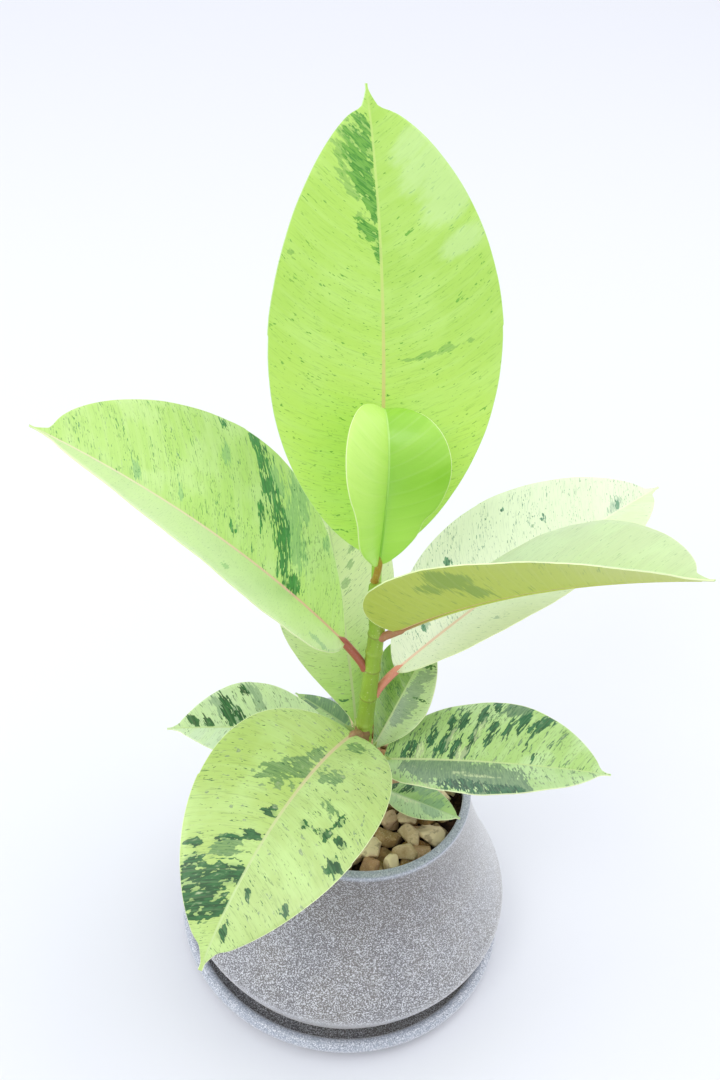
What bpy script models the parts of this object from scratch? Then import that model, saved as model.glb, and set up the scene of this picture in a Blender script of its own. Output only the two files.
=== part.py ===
"""Potted ficus: a speckled stone-composite pot in its saucer, filled with soil and top-dressing
stones, with one upright stem that carries twelve variegated leaves.

Units are metres, +Z is up and -Y is the front. The origin is under the middle of the saucer, on the
surface that it stands on. Lengths that are written in millimetres are turned into metres by MM. A
profile point is a radius and a height.
"""
import math
import random
from typing import NamedTuple

import bmesh
import bpy
from mathutils import Matrix, Vector

MM = 0.001

# Clearance between neighbouring pieces
GAP = 0.3 * MM

# Saucer
SAUCER_RADIUS = 80.0 * MM
SAUCER_FOOT_RADIUS = 72.5 * MM
SAUCER_HEIGHT = 12.7 * MM
SAUCER_FLOOR = 4.0 * MM
SAUCER_LIP_WIDTH = 4.7 * MM
SAUCER_SIDE_BEND = (78.5 * MM, 3.6 * MM)
SAUCER_SIDE_TOP = 7.5 * MM
SAUCER_CORNER = 2.2 * MM
SAUCER_SEGMENTS = 36

# Pot: an open, rounded cone with its widest ring low down
POT_RIM_RADIUS = 52.2 * MM
POT_RIM_HEIGHT = 105.5 * MM
POT_NECK_GUIDE = (54.0 * MM, 87.0 * MM)
POT_FLANK_GUIDE = (64.7 * MM, 61.0 * MM)
POT_SHOULDER = (75.9 * MM, 39.5 * MM)
POT_SHOULDER_GUIDE = (77.7 * MM, 36.6 * MM)
POT_BELLY_RADIUS = 78.1 * MM
POT_BELLY_HEIGHT = 33.0 * MM
POT_SKIRT_HEIGHT = 22.0 * MM
POT_SKIRT_GUIDE = (73.0 * MM, 9.0 * MM)
POT_FOOT_RADIUS = 66.0 * MM
POT_WALL = 3.8 * MM
POT_FLOOR = 5.0 * MM
POT_FOOT_RING = 5.0 * MM
POT_FOOT_RECESS = 1.5 * MM
POT_HOLLOW_FOOT_RADIUS = 62.0 * MM
POT_HOLLOW_SIDE = (71.6 * MM, 20.0 * MM)
DRAIN_HOLE_RADIUS = 6.5 * MM
POT_SEGMENTS = 36

# Soil and the layer of stones on it
SOIL_TOP = 91.5 * MM
SOIL_SLACK = 0.5 * MM
SOIL_SEGMENTS = 24
STONE_BED = 5.0 * MM
STONE_COUNT = 58
STONE_LENGTH = 5.6 * MM
STONE_HEIGHT = 4.0 * MM
STONE_FIELD_INNER = 11.0 * MM
STONE_FIELD_OUTER = 42.3 * MM
STONE_SEED = 11
STONE_SIDES = 7
STONE_ROWS = 4
STONE_ROUGHNESS = 0.07
STONE_TILT = 0.15
GOLDEN_TURN = math.radians(137.508)

# Stem
STEM_RADIUS = 3.9 * MM
STEM_TOP_RADIUS = 3.2 * MM
STEM_FOOT = 62.0 * MM
STEM_TOP = 224.0 * MM
STEM_TOP_BEVEL = 1.0 * MM
STEM_LEAN_START = 200.0 * MM
STEM_LEAN = 0.10
STEM_CLEARANCE = 0.5 * MM
STEM_SIDES = 14
NODE_RISE = 0.35 * MM
NODE_SPREAD = 1.3 * MM

# Leaves
BLADE_THICKNESS = 0.8 * MM
STALK_RINGS = 5
STALK_ANGLES = tuple(math.radians(90.0 + turned) for turned in (78, 52, 26, 0, -26, -52, -78))
STALK_TO_BLADE = 0.09
STALK_FADE = 0.3
RIB_DEPTH = 1.1 * MM
RIB_TIP_SHARE = 0.2
RIB_HALF_WIDTH = 1.4 * MM
RIB_WIDEST_SHARE = 0.4
TIP_HALF_WIDTH = 0.8 * MM
NECK_HALF_WIDTH = 1.5 * MM
NECK_SPREAD = 2.5
MIDRIB_STEPS = 240

# Where lower leaves have dropped and left a ring on the stem, besides the ring under each leaf
BARE_NODES = (116.0 * MM, 145.0 * MM, 188.0 * MM, 207.0 * MM)

# Leaf colours
LIME = (0.42, 0.68, 0.12)
FRESH = (0.38, 0.70, 0.10)
SPECKLED = (0.40, 0.62, 0.16)
CREAM = (0.60, 0.76, 0.36)
STREAKED = (0.20, 0.42, 0.16)
DARK = (0.12, 0.30, 0.14)


class Leaf(NamedTuple):
    """One leaf. Lengths are in millimetres and angles in degrees, and a pair gives foot and tip.

    node is the height where the stalk leaves the stem; reach and foot say how far out and how high
    the blade begins; rise is the midrib's slope, sweep its turn sideways and roll its lean; fold is
    how far each half stands up from flat, and curl how much of that it loses towards the margin.
    """

    name: str
    node: float
    azimuth: float
    reach: float
    foot: float
    length: float
    half_width: float
    rise: tuple
    sweep: float
    roll: tuple
    fold: tuple
    curl: float
    widest: float
    drip: float
    fullness: tuple
    stalk: float
    colour: tuple
    arch: float = 1.0
    rings: int = 16


LEAVES = (
    Leaf("leaf_top", node=220.0, azimuth=100, reach=9.7, foot=231.5, length=176, half_width=46.5,
         rise=(70.5, 56), sweep=17, roll=(6.5, 3.5), fold=(2, 18), curl=3, widest=0.50, drip=8.5,
         fullness=(0.64, 0.58), stalk=1.7, colour=LIME, rings=18),
    Leaf("leaf_young", node=224.0, azimuth=114, reach=0.5, foot=234.5, length=73, half_width=23,
         rise=(90, -40), sweep=-12, roll=(15, 8), fold=(41, 30), curl=15, widest=0.64, drip=3,
         fullness=(0.50, 0.77), stalk=1.5, colour=FRESH, arch=4.0, rings=18),
    Leaf("leaf_left", node=178.0, azimuth=189.5, reach=13, foot=193, length=159, half_width=48.5,
         rise=(51, 36), sweep=10, roll=(-8, -4), fold=(22.5, 23), curl=1, widest=0.47, drip=7.5,
         fullness=(0.85, 0.58), stalk=1.5, colour=SPECKLED, rings=18),
    Leaf("leaf_right_front", node=198.0, azimuth=-35, reach=9.6, foot=206, length=153, half_width=43.5,
         rise=(51.5, 33), sweep=-3, roll=(-16.5, -11), fold=(25, 32), curl=6, widest=0.42, drip=8,
         fullness=(0.78, 0.62), stalk=1.5, colour=SPECKLED, rings=18),
    Leaf("leaf_right_back", node=161.0, azimuth=28, reach=11.7, foot=173, length=140, half_width=36.5,
         rise=(43, 11), sweep=11.5, roll=(-7.5, 0), fold=(29, 20), curl=-1, widest=0.46, drip=6,
         fullness=(0.68, 0.62), stalk=1.5, colour=CREAM, rings=18),
    Leaf("leaf_back", node=129.0, azimuth=117, reach=7.3, foot=133.5, length=116, half_width=34.5,
         rise=(62, 52), sweep=4, roll=(21, 20), fold=(-5, 11), curl=10, widest=0.59, drip=6,
         fullness=(0.89, 0.76), stalk=1.5, colour=CREAM),
    Leaf("leaf_low_left", node=131.5, azimuth=191, reach=12.2, foot=137.5, length=73, half_width=21,
         rise=(10, 1), sweep=4, roll=(-4.5, -5), fold=(19, 17.5), curl=1, widest=0.52, drip=5,
         fullness=(0.78, 0.78), stalk=1.2, colour=STREAKED, rings=12),
    Leaf("leaf_small_left", node=134.0, azimuth=154, reach=6.3, foot=135.5, length=30, half_width=7.5,
         rise=(14, 5), sweep=1.5, roll=(1, 2), fold=(12, 6), curl=12, widest=0.45, drip=2,
         fullness=(0.77, 0.83), stalk=1.0, colour=DARK, rings=9),
    Leaf("leaf_back_right", node=125.5, azimuth=45.5, reach=7.4, foot=126.5, length=57, half_width=20.5,
         rise=(62.5, 59), sweep=5, roll=(-17, -13.5), fold=(8, 24), curl=15, widest=0.60, drip=2.5,
         fullness=(0.69, 0.66), stalk=1.2, colour=STREAKED, rings=12),
    Leaf("leaf_low_right", node=125.0, azimuth=-12, reach=12.6, foot=124.7, length=99, half_width=29,
         rise=(25, 15), sweep=-2, roll=(0, -3), fold=(22, 18), curl=1.5, widest=0.50, drip=4.5,
         fullness=(0.55, 0.67), stalk=1.3, colour=STREAKED, rings=14),
    Leaf("leaf_front", node=139.5, azimuth=244, reach=9.9, foot=145.7, length=124, half_width=37,
         rise=(23.5, -54.5), sweep=3.5, roll=(-3.5, -10), fold=(16, 11), curl=6, widest=0.42, drip=9,
         fullness=(0.65, 0.68), stalk=1.5, colour=SPECKLED, rings=18),
    Leaf("leaf_small_right", node=109.5, azimuth=-20.5, reach=12.7, foot=107.5, length=39,
         half_width=10.5, rise=(5.5, -1), sweep=3, roll=(-2, -4), fold=(7, 17), curl=9, widest=0.46,
         drip=2.5, fullness=(0.72, 0.68), stalk=1.0, colour=DARK, rings=10),
)


def clear_scene():
    """Remove every object that the file opened with."""
    for obj in list(bpy.data.objects):
        bpy.data.objects.remove(obj)


def make_material(name, colour, roughness):
    """Return a plain Principled material."""
    material = bpy.data.materials.new(name)
    material.use_nodes = True
    shader = material.node_tree.nodes["Principled BSDF"]
    shader.inputs["Base Color"].default_value = (*colour, 1.0)
    shader.inputs["Roughness"].default_value = roughness
    shader.inputs["Metallic"].default_value = 0.0
    material.diffuse_color = (*colour, 1.0)
    return material


def shade(mesh, sharp_degrees):
    """Shade a mesh smooth, with edges that turn more than an angle kept sharp."""
    mesh.shade_smooth()
    mesh.set_sharp_from_angle(angle=math.radians(sharp_degrees))


def add_object(name, bm, material, sharp_degrees=35.0):
    """Turn a bmesh into a named, smooth-shaded object."""
    mesh = bpy.data.meshes.new(name)
    bm.to_mesh(mesh)
    bm.free()
    shade(mesh, sharp_degrees)
    mesh.materials.append(material)
    obj = bpy.data.objects.new(name, mesh)
    bpy.context.scene.collection.objects.link(obj)
    return obj


def arc(centre, radius, start, end, steps):
    """Points on an arc in the profile plane; angles in degrees from the outward direction."""
    points = []
    for step in range(steps + 1):
        angle = math.radians(start + (end - start) * step / steps)
        points.append((centre[0] + radius * math.cos(angle), centre[1] + radius * math.sin(angle)))
    return points


def bezier(start, handle_a, handle_b, end, steps):
    """Points on a cubic curve, both ends included."""
    points = []
    corners = (start, handle_a, handle_b, end)
    for step in range(steps + 1):
        t = step / steps
        weights = ((1 - t) ** 3, 3 * t * (1 - t) ** 2, 3 * t * t * (1 - t), t ** 3)
        points.append(tuple(sum(w * corner[i] for w, corner in zip(weights, corners)) for i in (0, 1)))
    return points


def turn(profile, segments, closed):
    """Turn a profile about the Z axis into a closed body."""
    bm = bmesh.new()
    verts = [bm.verts.new((radius, 0.0, height)) for radius, height in profile]
    edges = [bm.edges.new(pair) for pair in zip(verts, verts[1:])]
    if closed:
        edges.append(bm.edges.new((verts[-1], verts[0])))
    bmesh.ops.spin(bm, geom=verts + edges, cent=(0, 0, 0), axis=(0, 0, 1), angle=math.tau,
                   steps=segments, use_merge=True, use_duplicate=False)
    bmesh.ops.remove_doubles(bm, verts=bm.verts[:], dist=0.01 * MM)
    bmesh.ops.recalc_face_normals(bm, faces=bm.faces[:])
    return bm


def build_saucer(material):
    """A shallow dish with an upright, rounded lip."""
    lip = SAUCER_LIP_WIDTH / 2
    inner = SAUCER_RADIUS - SAUCER_LIP_WIDTH
    profile = [(0.0, 0.0), (SAUCER_FOOT_RADIUS, 0.0), SAUCER_SIDE_BEND, (SAUCER_RADIUS, SAUCER_SIDE_TOP)]
    profile += arc((SAUCER_RADIUS - lip, SAUCER_HEIGHT - lip), lip, 0, 180, 6)
    corner = (inner - SAUCER_CORNER, SAUCER_FLOOR + SAUCER_CORNER)
    profile += arc(corner, SAUCER_CORNER, 0, -90, 2)
    profile.append((0.0, SAUCER_FLOOR))
    return add_object("saucer", turn(profile, SAUCER_SEGMENTS, closed=False), material)


def wall_curve(inset, steps):
    """The pot's side from under the rim down to its shoulder, moved inwards by inset."""
    rim_edge = (POT_RIM_RADIUS, POT_RIM_HEIGHT - POT_WALL / 2)
    guides = (rim_edge, POT_NECK_GUIDE, POT_FLANK_GUIDE, POT_SHOULDER)
    return bezier(*[(radius - inset, height) for radius, height in guides], steps)


def build_pot(material):
    """The hollow pot: rounded rim, flaring side, low belly, foot ring and a drain hole."""
    foot = SAUCER_FLOOR + GAP
    floor = foot + POT_FLOOR
    foot_inner = POT_FOOT_RADIUS - POT_FOOT_RING
    belly = (POT_BELLY_RADIUS, POT_BELLY_HEIGHT)
    belly_guide = (POT_BELLY_RADIUS, (POT_BELLY_HEIGHT + POT_SHOULDER_GUIDE[1]) / 2)
    skirt = (POT_BELLY_RADIUS, POT_SKIRT_HEIGHT)
    outer = wall_curve(0.0, 5)
    outer += bezier(outer[-1], POT_SHOULDER_GUIDE, belly_guide, belly, 2)[1:]
    outer += bezier(belly, skirt, POT_SKIRT_GUIDE, (POT_FOOT_RADIUS, foot), 3)[1:]
    underside = [(foot_inner, foot), (foot_inner - POT_FOOT_RECESS, foot + POT_FOOT_RECESS)]
    underside.append((DRAIN_HOLE_RADIUS, foot + POT_FOOT_RECESS))
    inside = [(DRAIN_HOLE_RADIUS, floor), (POT_HOLLOW_FOOT_RADIUS, floor), POT_HOLLOW_SIDE]
    inside.append((POT_BELLY_RADIUS - POT_WALL, POT_BELLY_HEIGHT))
    inside += wall_curve(POT_WALL, 4)[::-1]
    rim = arc((POT_RIM_RADIUS - POT_WALL / 2, POT_RIM_HEIGHT - POT_WALL / 2), POT_WALL / 2, 180, 0, 5)
    profile = outer + underside + inside + rim[1:-1]
    return add_object("pot", turn(profile, POT_SEGMENTS, closed=True), material)


def hollow_radius(height):
    """Radius of the pot's hollow at a height in its upper part."""
    curve = wall_curve(POT_WALL, 40)
    return min(curve, key=lambda point: abs(point[1] - height))[0]


def build_soil(material):
    """The soil: it fills the pot to below the rim and has a plain hole for the stem."""
    bottom = SAUCER_FLOOR + GAP + POT_FLOOR + GAP
    hole = STEM_RADIUS + STEM_CLEARANCE
    slack = GAP + SOIL_SLACK
    wide = 2 * slack
    wall = [point for point in wall_curve(POT_WALL + slack, 6) if point[1] < SOIL_TOP - SAUCER_FLOOR]
    profile = [(0.0, bottom), (POT_HOLLOW_FOOT_RADIUS - wide, bottom)]
    profile.append((POT_HOLLOW_SIDE[0] - wide, POT_HOLLOW_SIDE[1] + slack))
    profile.append((POT_BELLY_RADIUS - POT_WALL - wide, POT_BELLY_HEIGHT))
    profile += wall[::-1]
    profile += [(hollow_radius(SOIL_TOP) - slack, SOIL_TOP), (hole, SOIL_TOP)]
    profile += [(hole, STEM_FOOT - GAP), (0.0, STEM_FOOT - GAP)]
    return add_object("soil", turn(profile, SOIL_SEGMENTS, closed=False), material)


def make_stone(name, place, size, rng):
    """One rounded stone: a coarse sphere with its points pushed in and out a little."""
    bm = bmesh.new()
    bmesh.ops.create_uvsphere(bm, u_segments=STONE_SIDES, v_segments=STONE_ROWS, radius=1.0)
    for vert in bm.verts:
        vert.co *= 1.0 + rng.uniform(-STONE_ROUGHNESS, STONE_ROUGHNESS)
    heading = Matrix.Rotation(rng.uniform(0, math.pi), 3, "Z")
    tilt = Matrix.Rotation(rng.uniform(-STONE_TILT, STONE_TILT), 3, "X")
    bmesh.ops.scale(bm, vec=size, verts=bm.verts[:])
    bmesh.ops.rotate(bm, cent=(0, 0, 0), matrix=heading @ tilt, verts=bm.verts[:])
    bmesh.ops.translate(bm, vec=place, verts=bm.verts[:])
    mesh = bpy.data.meshes.new(name)
    bm.to_mesh(mesh)
    bm.free()
    return bpy.data.objects.new(name, mesh)


def scatter_stones(bed_top):
    """A collection of stones on a golden-turn spiral, sunk halfway into the bed."""
    rng = random.Random(STONE_SEED)
    stones = bpy.data.collections.new("stones")
    for index in range(STONE_COUNT):
        share = (index + 0.5) / STONE_COUNT
        radius = math.sqrt(lerp((STONE_FIELD_INNER ** 2, STONE_FIELD_OUTER ** 2), share))
        angle = index * GOLDEN_TURN
        length = STONE_LENGTH * rng.uniform(0.90, 1.10)
        width = STONE_LENGTH * rng.uniform(0.74, 0.94)
        height = STONE_HEIGHT * rng.uniform(0.85, 1.15)
        middle = bed_top + rng.uniform(0.2, 0.9) * MM
        place = (radius * math.cos(angle), radius * math.sin(angle), middle)
        stones.objects.link(make_stone(f"stone_{index:02d}", place, (length, width, height), rng))
    return stones


def build_pebbles(material):
    """The top dressing: stones sunk into a thin ring-shaped bed and made one body with it."""
    bottom = SOIL_TOP + GAP
    top = bottom + STONE_BED
    outer = hollow_radius(top) - GAP - SOIL_SLACK
    inner = STEM_RADIUS + STEM_CLEARANCE
    profile = [(inner, bottom), (outer, bottom), (outer, top), (inner, top)]
    bed = add_object("pebbles", turn(profile, SOIL_SEGMENTS, closed=True), material)
    stones = scatter_stones(top)
    union = bed.modifiers.new("stones", "BOOLEAN")
    union.operation = "UNION"
    union.operand_type = "COLLECTION"
    union.collection = stones
    union.solver = "EXACT"
    evaluated = bed.evaluated_get(bpy.context.evaluated_depsgraph_get())
    mesh = bpy.data.meshes.new_from_object(evaluated)
    bed.modifiers.clear()
    bed.data = mesh
    shade(mesh, 50.0)
    for stone in list(stones.objects):
        bpy.data.objects.remove(stone)
    bpy.data.collections.remove(stones)
    return bed


def stem_centre(height):
    """The stem's middle at a height: straight, with its top leaning slightly to the left."""
    return Vector((-STEM_LEAN * max(0.0, height - STEM_LEAN_START), 0.0, height))


def stem_radius(height):
    """The stem's radius at a height, without its rings."""
    share = max(0.0, (height - SOIL_TOP) / (STEM_TOP - SOIL_TOP))
    return lerp((STEM_RADIUS, STEM_TOP_RADIUS), share)


def stem_ring(height, radius):
    """A level ring of points round the stem."""
    centre = stem_centre(height)
    angles = [math.tau * side / STEM_SIDES for side in range(STEM_SIDES)]
    return [centre + radius * Vector((math.cos(angle), math.sin(angle), 0.0)) for angle in angles]


def build_stem(material):
    """The upright stem, with a raised ring at each node and its foot in the soil."""
    below_top = [leaf.node * MM for leaf in LEAVES if leaf.node * MM < STEM_TOP - STEM_TOP_BEVEL]
    nodes = sorted(below_top + list(BARE_NODES))
    heights = [STEM_FOOT, SOIL_TOP]
    for node in nodes:
        if node - NODE_SPREAD > heights[-1] + GAP:
            heights.append(node - NODE_SPREAD)
        heights += [node, node + NODE_SPREAD]
    rings = []
    for height in sorted(heights):
        nearest = min(abs(height - node) for node in nodes)
        swelling = NODE_RISE * max(0.0, 1.0 - nearest / NODE_SPREAD)
        rings.append(stem_ring(height, stem_radius(height) + swelling))
    rings.append(stem_ring(STEM_TOP - STEM_TOP_BEVEL, STEM_TOP_RADIUS))
    rings.append(stem_ring(STEM_TOP, STEM_TOP_RADIUS - STEM_TOP_BEVEL))
    return add_object("stem", loft(rings), material)


def loft(rings, flip_after=None):
    """Join rings of equal length into a closed body. From column flip_after the diagonals are
    turned over, so that two faces of a thin blade are split into triangles alike."""
    bm = bmesh.new()
    rows = [[bm.verts.new(point) for point in ring] for ring in rings]
    count = len(rings[0])
    for low, high in zip(rows, rows[1:]):
        for j in range(count):
            k = (j + 1) % count
            if flip_after is None or j < flip_after:
                bm.faces.new((low[j], high[j], high[k]))
                bm.faces.new((low[j], high[k], low[k]))
            else:
                bm.faces.new((low[j], high[j], low[k]))
                bm.faces.new((high[j], high[k], low[k]))
    for row in (rows[0], rows[-1]):
        hub = bm.verts.new(sum((vert.co for vert in row), Vector()) / count)
        for j in range(count):
            bm.faces.new((row[j], row[(j + 1) % count], hub))
    bmesh.ops.recalc_face_normals(bm, faces=bm.faces[:])
    return bm


def lerp(pair, share):
    """The value between a pair's two ends."""
    return pair[0] + (pair[1] - pair[0]) * share


def half_width(leaf, share):
    """Half of the blade's width at a share of its length: rounded, with a drawn-out drip tip."""
    body = 1.0 - leaf.drip / leaf.length
    power = math.log(0.5) / math.log(leaf.widest)
    x = min(1.0, share / body)
    oval = max(0.0, math.sin(math.pi * x ** power)) ** lerp(leaf.fullness, x)
    neck = 0.0
    if share > 0.5:
        neck = NECK_HALF_WIDTH * min(NECK_SPREAD, (1.0 - share) * leaf.length / leaf.drip) ** 1.5
    root = leaf.stalk * MM * max(0.0, 1.0 - share / STALK_FADE)
    return max(TIP_HALF_WIDTH, math.hypot(leaf.half_width * MM * oval, neck, root))


def direction(rise, azimuth):
    """Unit vector at an elevation and an azimuth in degrees."""
    e = math.radians(rise)
    a = math.radians(azimuth)
    return Vector((math.cos(e) * math.cos(a), math.cos(e) * math.sin(a), math.sin(e)))


def leaf_frame(leaf, share):
    """Tangent, sideways and upper directions of the midrib at a share of its length."""
    rise = lerp(leaf.rise, share ** leaf.arch)
    azimuth = leaf.azimuth + leaf.sweep * share
    roll = math.radians(lerp(leaf.roll, share))
    tangent = direction(rise, azimuth)
    level = direction(0.0, azimuth + 90.0)
    upper = tangent.cross(level)
    side = level * math.cos(roll) + upper * math.sin(roll)
    return tangent, side, upper * math.cos(roll) - level * math.sin(roll)


def blade_foot(leaf):
    """Where the stalk ends and the blade begins."""
    axis = stem_centre(leaf.node * MM)
    out = direction(0.0, leaf.azimuth) * leaf.reach * MM
    return Vector((axis.x + out.x, axis.y + out.y, leaf.foot * MM))


def midrib_points(leaf, shares):
    """Places on the midrib, found by adding up short steps along its direction."""
    point = blade_foot(leaf)
    places = [point.copy()]
    for step in range(MIDRIB_STEPS):
        tangent = leaf_frame(leaf, (step + 0.5) / MIDRIB_STEPS)[0]
        point = point + tangent * (leaf.length * MM / MIDRIB_STEPS)
        places.append(point.copy())
    return [places[round(share * MIDRIB_STEPS)] for share in shares]


def blade_columns(width):
    """Places across a blade of that half width, from -1 to 1, with the midrib's edges among them."""
    rib = min(RIB_WIDEST_SHARE, RIB_HALF_WIDTH / width)
    flank = (rib + 1.0) / 2
    return (-1.0, -flank, -rib, 0.0, rib, flank, 1.0)


def blade_section(leaf, share, side, upper):
    """Offsets of the blade's upper and lower faces from the midrib, across the blade."""
    width = half_width(leaf, share)
    fold = math.radians(lerp(leaf.fold, share))
    curl = math.radians(leaf.curl)
    rib = RIB_DEPTH * lerp((1.0, RIB_TIP_SHARE), share)
    top = []
    bottom = []
    for t in blade_columns(width):
        slope = fold - curl * abs(t)
        across = (math.sin(fold) - math.sin(slope)) / curl
        lift = (math.cos(slope) - math.cos(fold)) / curl
        outward = side * math.copysign(1.0, t)
        place = (outward * across + upper * lift) * width
        if t:
            face = upper * math.cos(slope) - outward * math.sin(slope)
            depth = BLADE_THICKNESS
        else:
            face = upper
            depth = BLADE_THICKNESS + rib
        top.append(place)
        bottom.append(place - face * depth)
    return top, bottom


def stalk_section(side, upper, radius):
    """Offsets of the round stalk's points, in the same order as the blade's columns."""
    top = []
    bottom = []
    for angle in STALK_ANGLES:
        top.append(side * radius * math.cos(angle) + upper * radius * math.sin(angle))
        bottom.append(side * radius * math.cos(angle) - upper * radius * math.sin(angle))
    return top, bottom


def seat_on_stem(point, heading, height):
    """Slide a point back along the stalk's heading until it lies just clear of the stem."""
    centre = stem_centre(height)
    radius = stem_radius(height) + NODE_RISE + GAP
    flat = Vector((heading.x, heading.y))
    start = Vector((point.x - centre.x, point.y - centre.y))
    a = flat.dot(flat)
    b = 2.0 * start.dot(flat)
    c = start.dot(start) - radius ** 2
    root = math.sqrt(max(0.0, b * b - 4.0 * a * c))
    return point + heading * ((-b + root) / (2.0 * a))


def stalk_rings(leaf):
    """The stalk's rings, from the stem's surface, or its top, to the blade's foot."""
    node = leaf.node * MM
    on_top = node >= STEM_TOP
    tangent, side, upper = leaf_frame(leaf, 0.0)
    end = blade_foot(leaf)
    start = stem_centre(node) + Vector((0.0, 0.0, GAP))
    if not on_top:
        start = stem_centre(node) + direction(0.0, leaf.azimuth) * (stem_radius(node) + NODE_RISE + GAP)
    handle = end - tangent * (end - start).length * 0.5
    rings = []
    for index in range(STALK_RINGS):
        t = index / STALK_RINGS
        place = start * (1 - t) ** 2 + handle * 2 * t * (1 - t) + end * t * t
        heading = ((handle - start) * (1 - t) + (end - handle) * t).normalized()
        level = (side - heading * side.dot(heading)).normalized()
        top, bottom = stalk_section(level, heading.cross(level), leaf.stalk * MM)
        ring = [place + offset for offset in top + bottom[::-1]]
        if index == 0 and not on_top:
            ring = [seat_on_stem(point, heading, node) for point in ring]
        rings.append(ring)
    return rings


def blend(stalk, blade, mix):
    """Offsets that pass from the stalk's section to the blade's."""
    return [a * (1.0 - mix) + b * mix for a, b in zip(stalk, blade)]


def build_leaf(leaf, material):
    """One leaf as one solid: its stalk runs into the blade and its raised midrib."""
    rings = stalk_rings(leaf)
    shares = [index / leaf.rings for index in range(leaf.rings + 1)]
    for share, place in zip(shares, midrib_points(leaf, shares)):
        tangent, side, upper = leaf_frame(leaf, share)
        blade_top, blade_bottom = blade_section(leaf, share, side, upper)
        stalk_top, stalk_bottom = stalk_section(side, upper, leaf.stalk * MM)
        mix = min(1.0, share / STALK_TO_BLADE)
        mix = mix * mix * (3.0 - 2.0 * mix)
        top = blend(stalk_top, blade_top, mix)
        bottom = blend(stalk_bottom, blade_bottom, mix)
        rings.append([place + offset for offset in top + bottom[::-1]])
    return add_object(leaf.name, loft(rings, flip_after=len(STALK_ANGLES)), material, sharp_degrees=60.0)


def main():
    """Build every piece."""
    clear_scene()
    stone_ware = make_material("speckled_stoneware", (0.30, 0.31, 0.34), 0.45)
    build_saucer(stone_ware)
    build_pot(stone_ware)
    build_soil(make_material("potting_soil", (0.06, 0.04, 0.03), 0.95))
    build_pebbles(make_material("tan_stones", (0.42, 0.32, 0.20), 0.80))
    build_stem(make_material("green_stem", (0.30, 0.45, 0.12), 0.55))
    for leaf in LEAVES:
        build_leaf(leaf, make_material(leaf.name, leaf.colour, 0.35))


main()
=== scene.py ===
"""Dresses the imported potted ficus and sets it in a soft, bright studio.

Leaves, stem, stones, soil, pot and saucer are modelled here in full detail where their plain solids
stand, and each gets its own finish. Fields hold millimetres and degrees, and MM makes them metres.
A Colour is a screen colour such as "#bde66e". In a finish, a scale counts a pattern's bumps in a
metre, and a depth is a bump's height in millimetres.
"""
import logging
import math
import random
from collections.abc import Callable, Mapping, Sequence
from dataclasses import dataclass
from enum import Enum

import bpy
import numpy as np
from mathutils import Matrix, Vector, noise


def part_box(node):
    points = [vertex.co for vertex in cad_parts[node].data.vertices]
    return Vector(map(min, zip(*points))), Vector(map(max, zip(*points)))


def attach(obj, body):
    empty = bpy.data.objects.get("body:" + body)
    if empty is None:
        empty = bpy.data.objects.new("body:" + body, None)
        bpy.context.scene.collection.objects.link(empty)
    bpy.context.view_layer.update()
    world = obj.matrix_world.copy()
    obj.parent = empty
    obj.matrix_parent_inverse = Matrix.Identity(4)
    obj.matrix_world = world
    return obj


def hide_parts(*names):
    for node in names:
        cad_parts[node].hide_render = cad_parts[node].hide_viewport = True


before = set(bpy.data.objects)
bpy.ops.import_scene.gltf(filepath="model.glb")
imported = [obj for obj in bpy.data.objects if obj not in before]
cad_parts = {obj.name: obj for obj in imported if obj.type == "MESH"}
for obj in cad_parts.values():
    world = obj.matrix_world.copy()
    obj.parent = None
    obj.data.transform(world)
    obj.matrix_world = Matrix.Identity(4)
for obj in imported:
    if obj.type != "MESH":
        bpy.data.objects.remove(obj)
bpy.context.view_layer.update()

BODY = "root"
MM = 0.001
WELD = 0.01 * MM
GOLDEN_TURN = math.radians(137.508)
VEIN_SPACING = 5.5

Colour = str
Point = tuple[float, float]
Patch = tuple[float, float, float, float]

log = logging.getLogger("potted_ficus")


def tint(screen: Colour) -> tuple[float, float, float]:
    """Turns a screen colour into the renderer's light values.

    Args:
        screen: Six hexadecimal digits after a hash.

    Returns:
        Red, green and blue from 0 to 1, in linear light.
    """
    parts = [int(screen[start:start + 2], 16) / 255 for start in (1, 3, 5)]
    return tuple(part / 12.92 if part <= 0.04045 else ((part + 0.055) / 1.055) ** 2.4 for part in parts)


def lerp(pair: Point, share: "float | np.ndarray | Wire") -> "float | np.ndarray | Wire":
    """The value between a pair's two ends, at a share from 0 to 1."""
    return pair[0] + (pair[1] - pair[0]) * share


def smooth(value: np.ndarray, low: float, high: float) -> np.ndarray:
    """Passes softly from 0 at low to 1 at high."""
    share = np.clip((value - low) / (high - low), 0.0, 1.0)
    return share * share * (3.0 - 2.0 * share)


def arc(centre: Point, radius: float, start: float, end: float, steps: int) -> list[Point]:
    """Points on a round stretch of a profile.

    Args:
        centre: Radius and height of the arc's middle.
        radius: The arc's own radius.
        start: First angle in degrees, from the outward direction.
        end: Last angle in degrees.
        steps: How many stretches the arc has.

    Returns:
        Points as radius and height, both ends included.
    """
    angles = np.radians(np.linspace(start, end, steps + 1))
    return [(centre[0] + radius * math.cos(a), centre[1] + radius * math.sin(a)) for a in angles]


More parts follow.
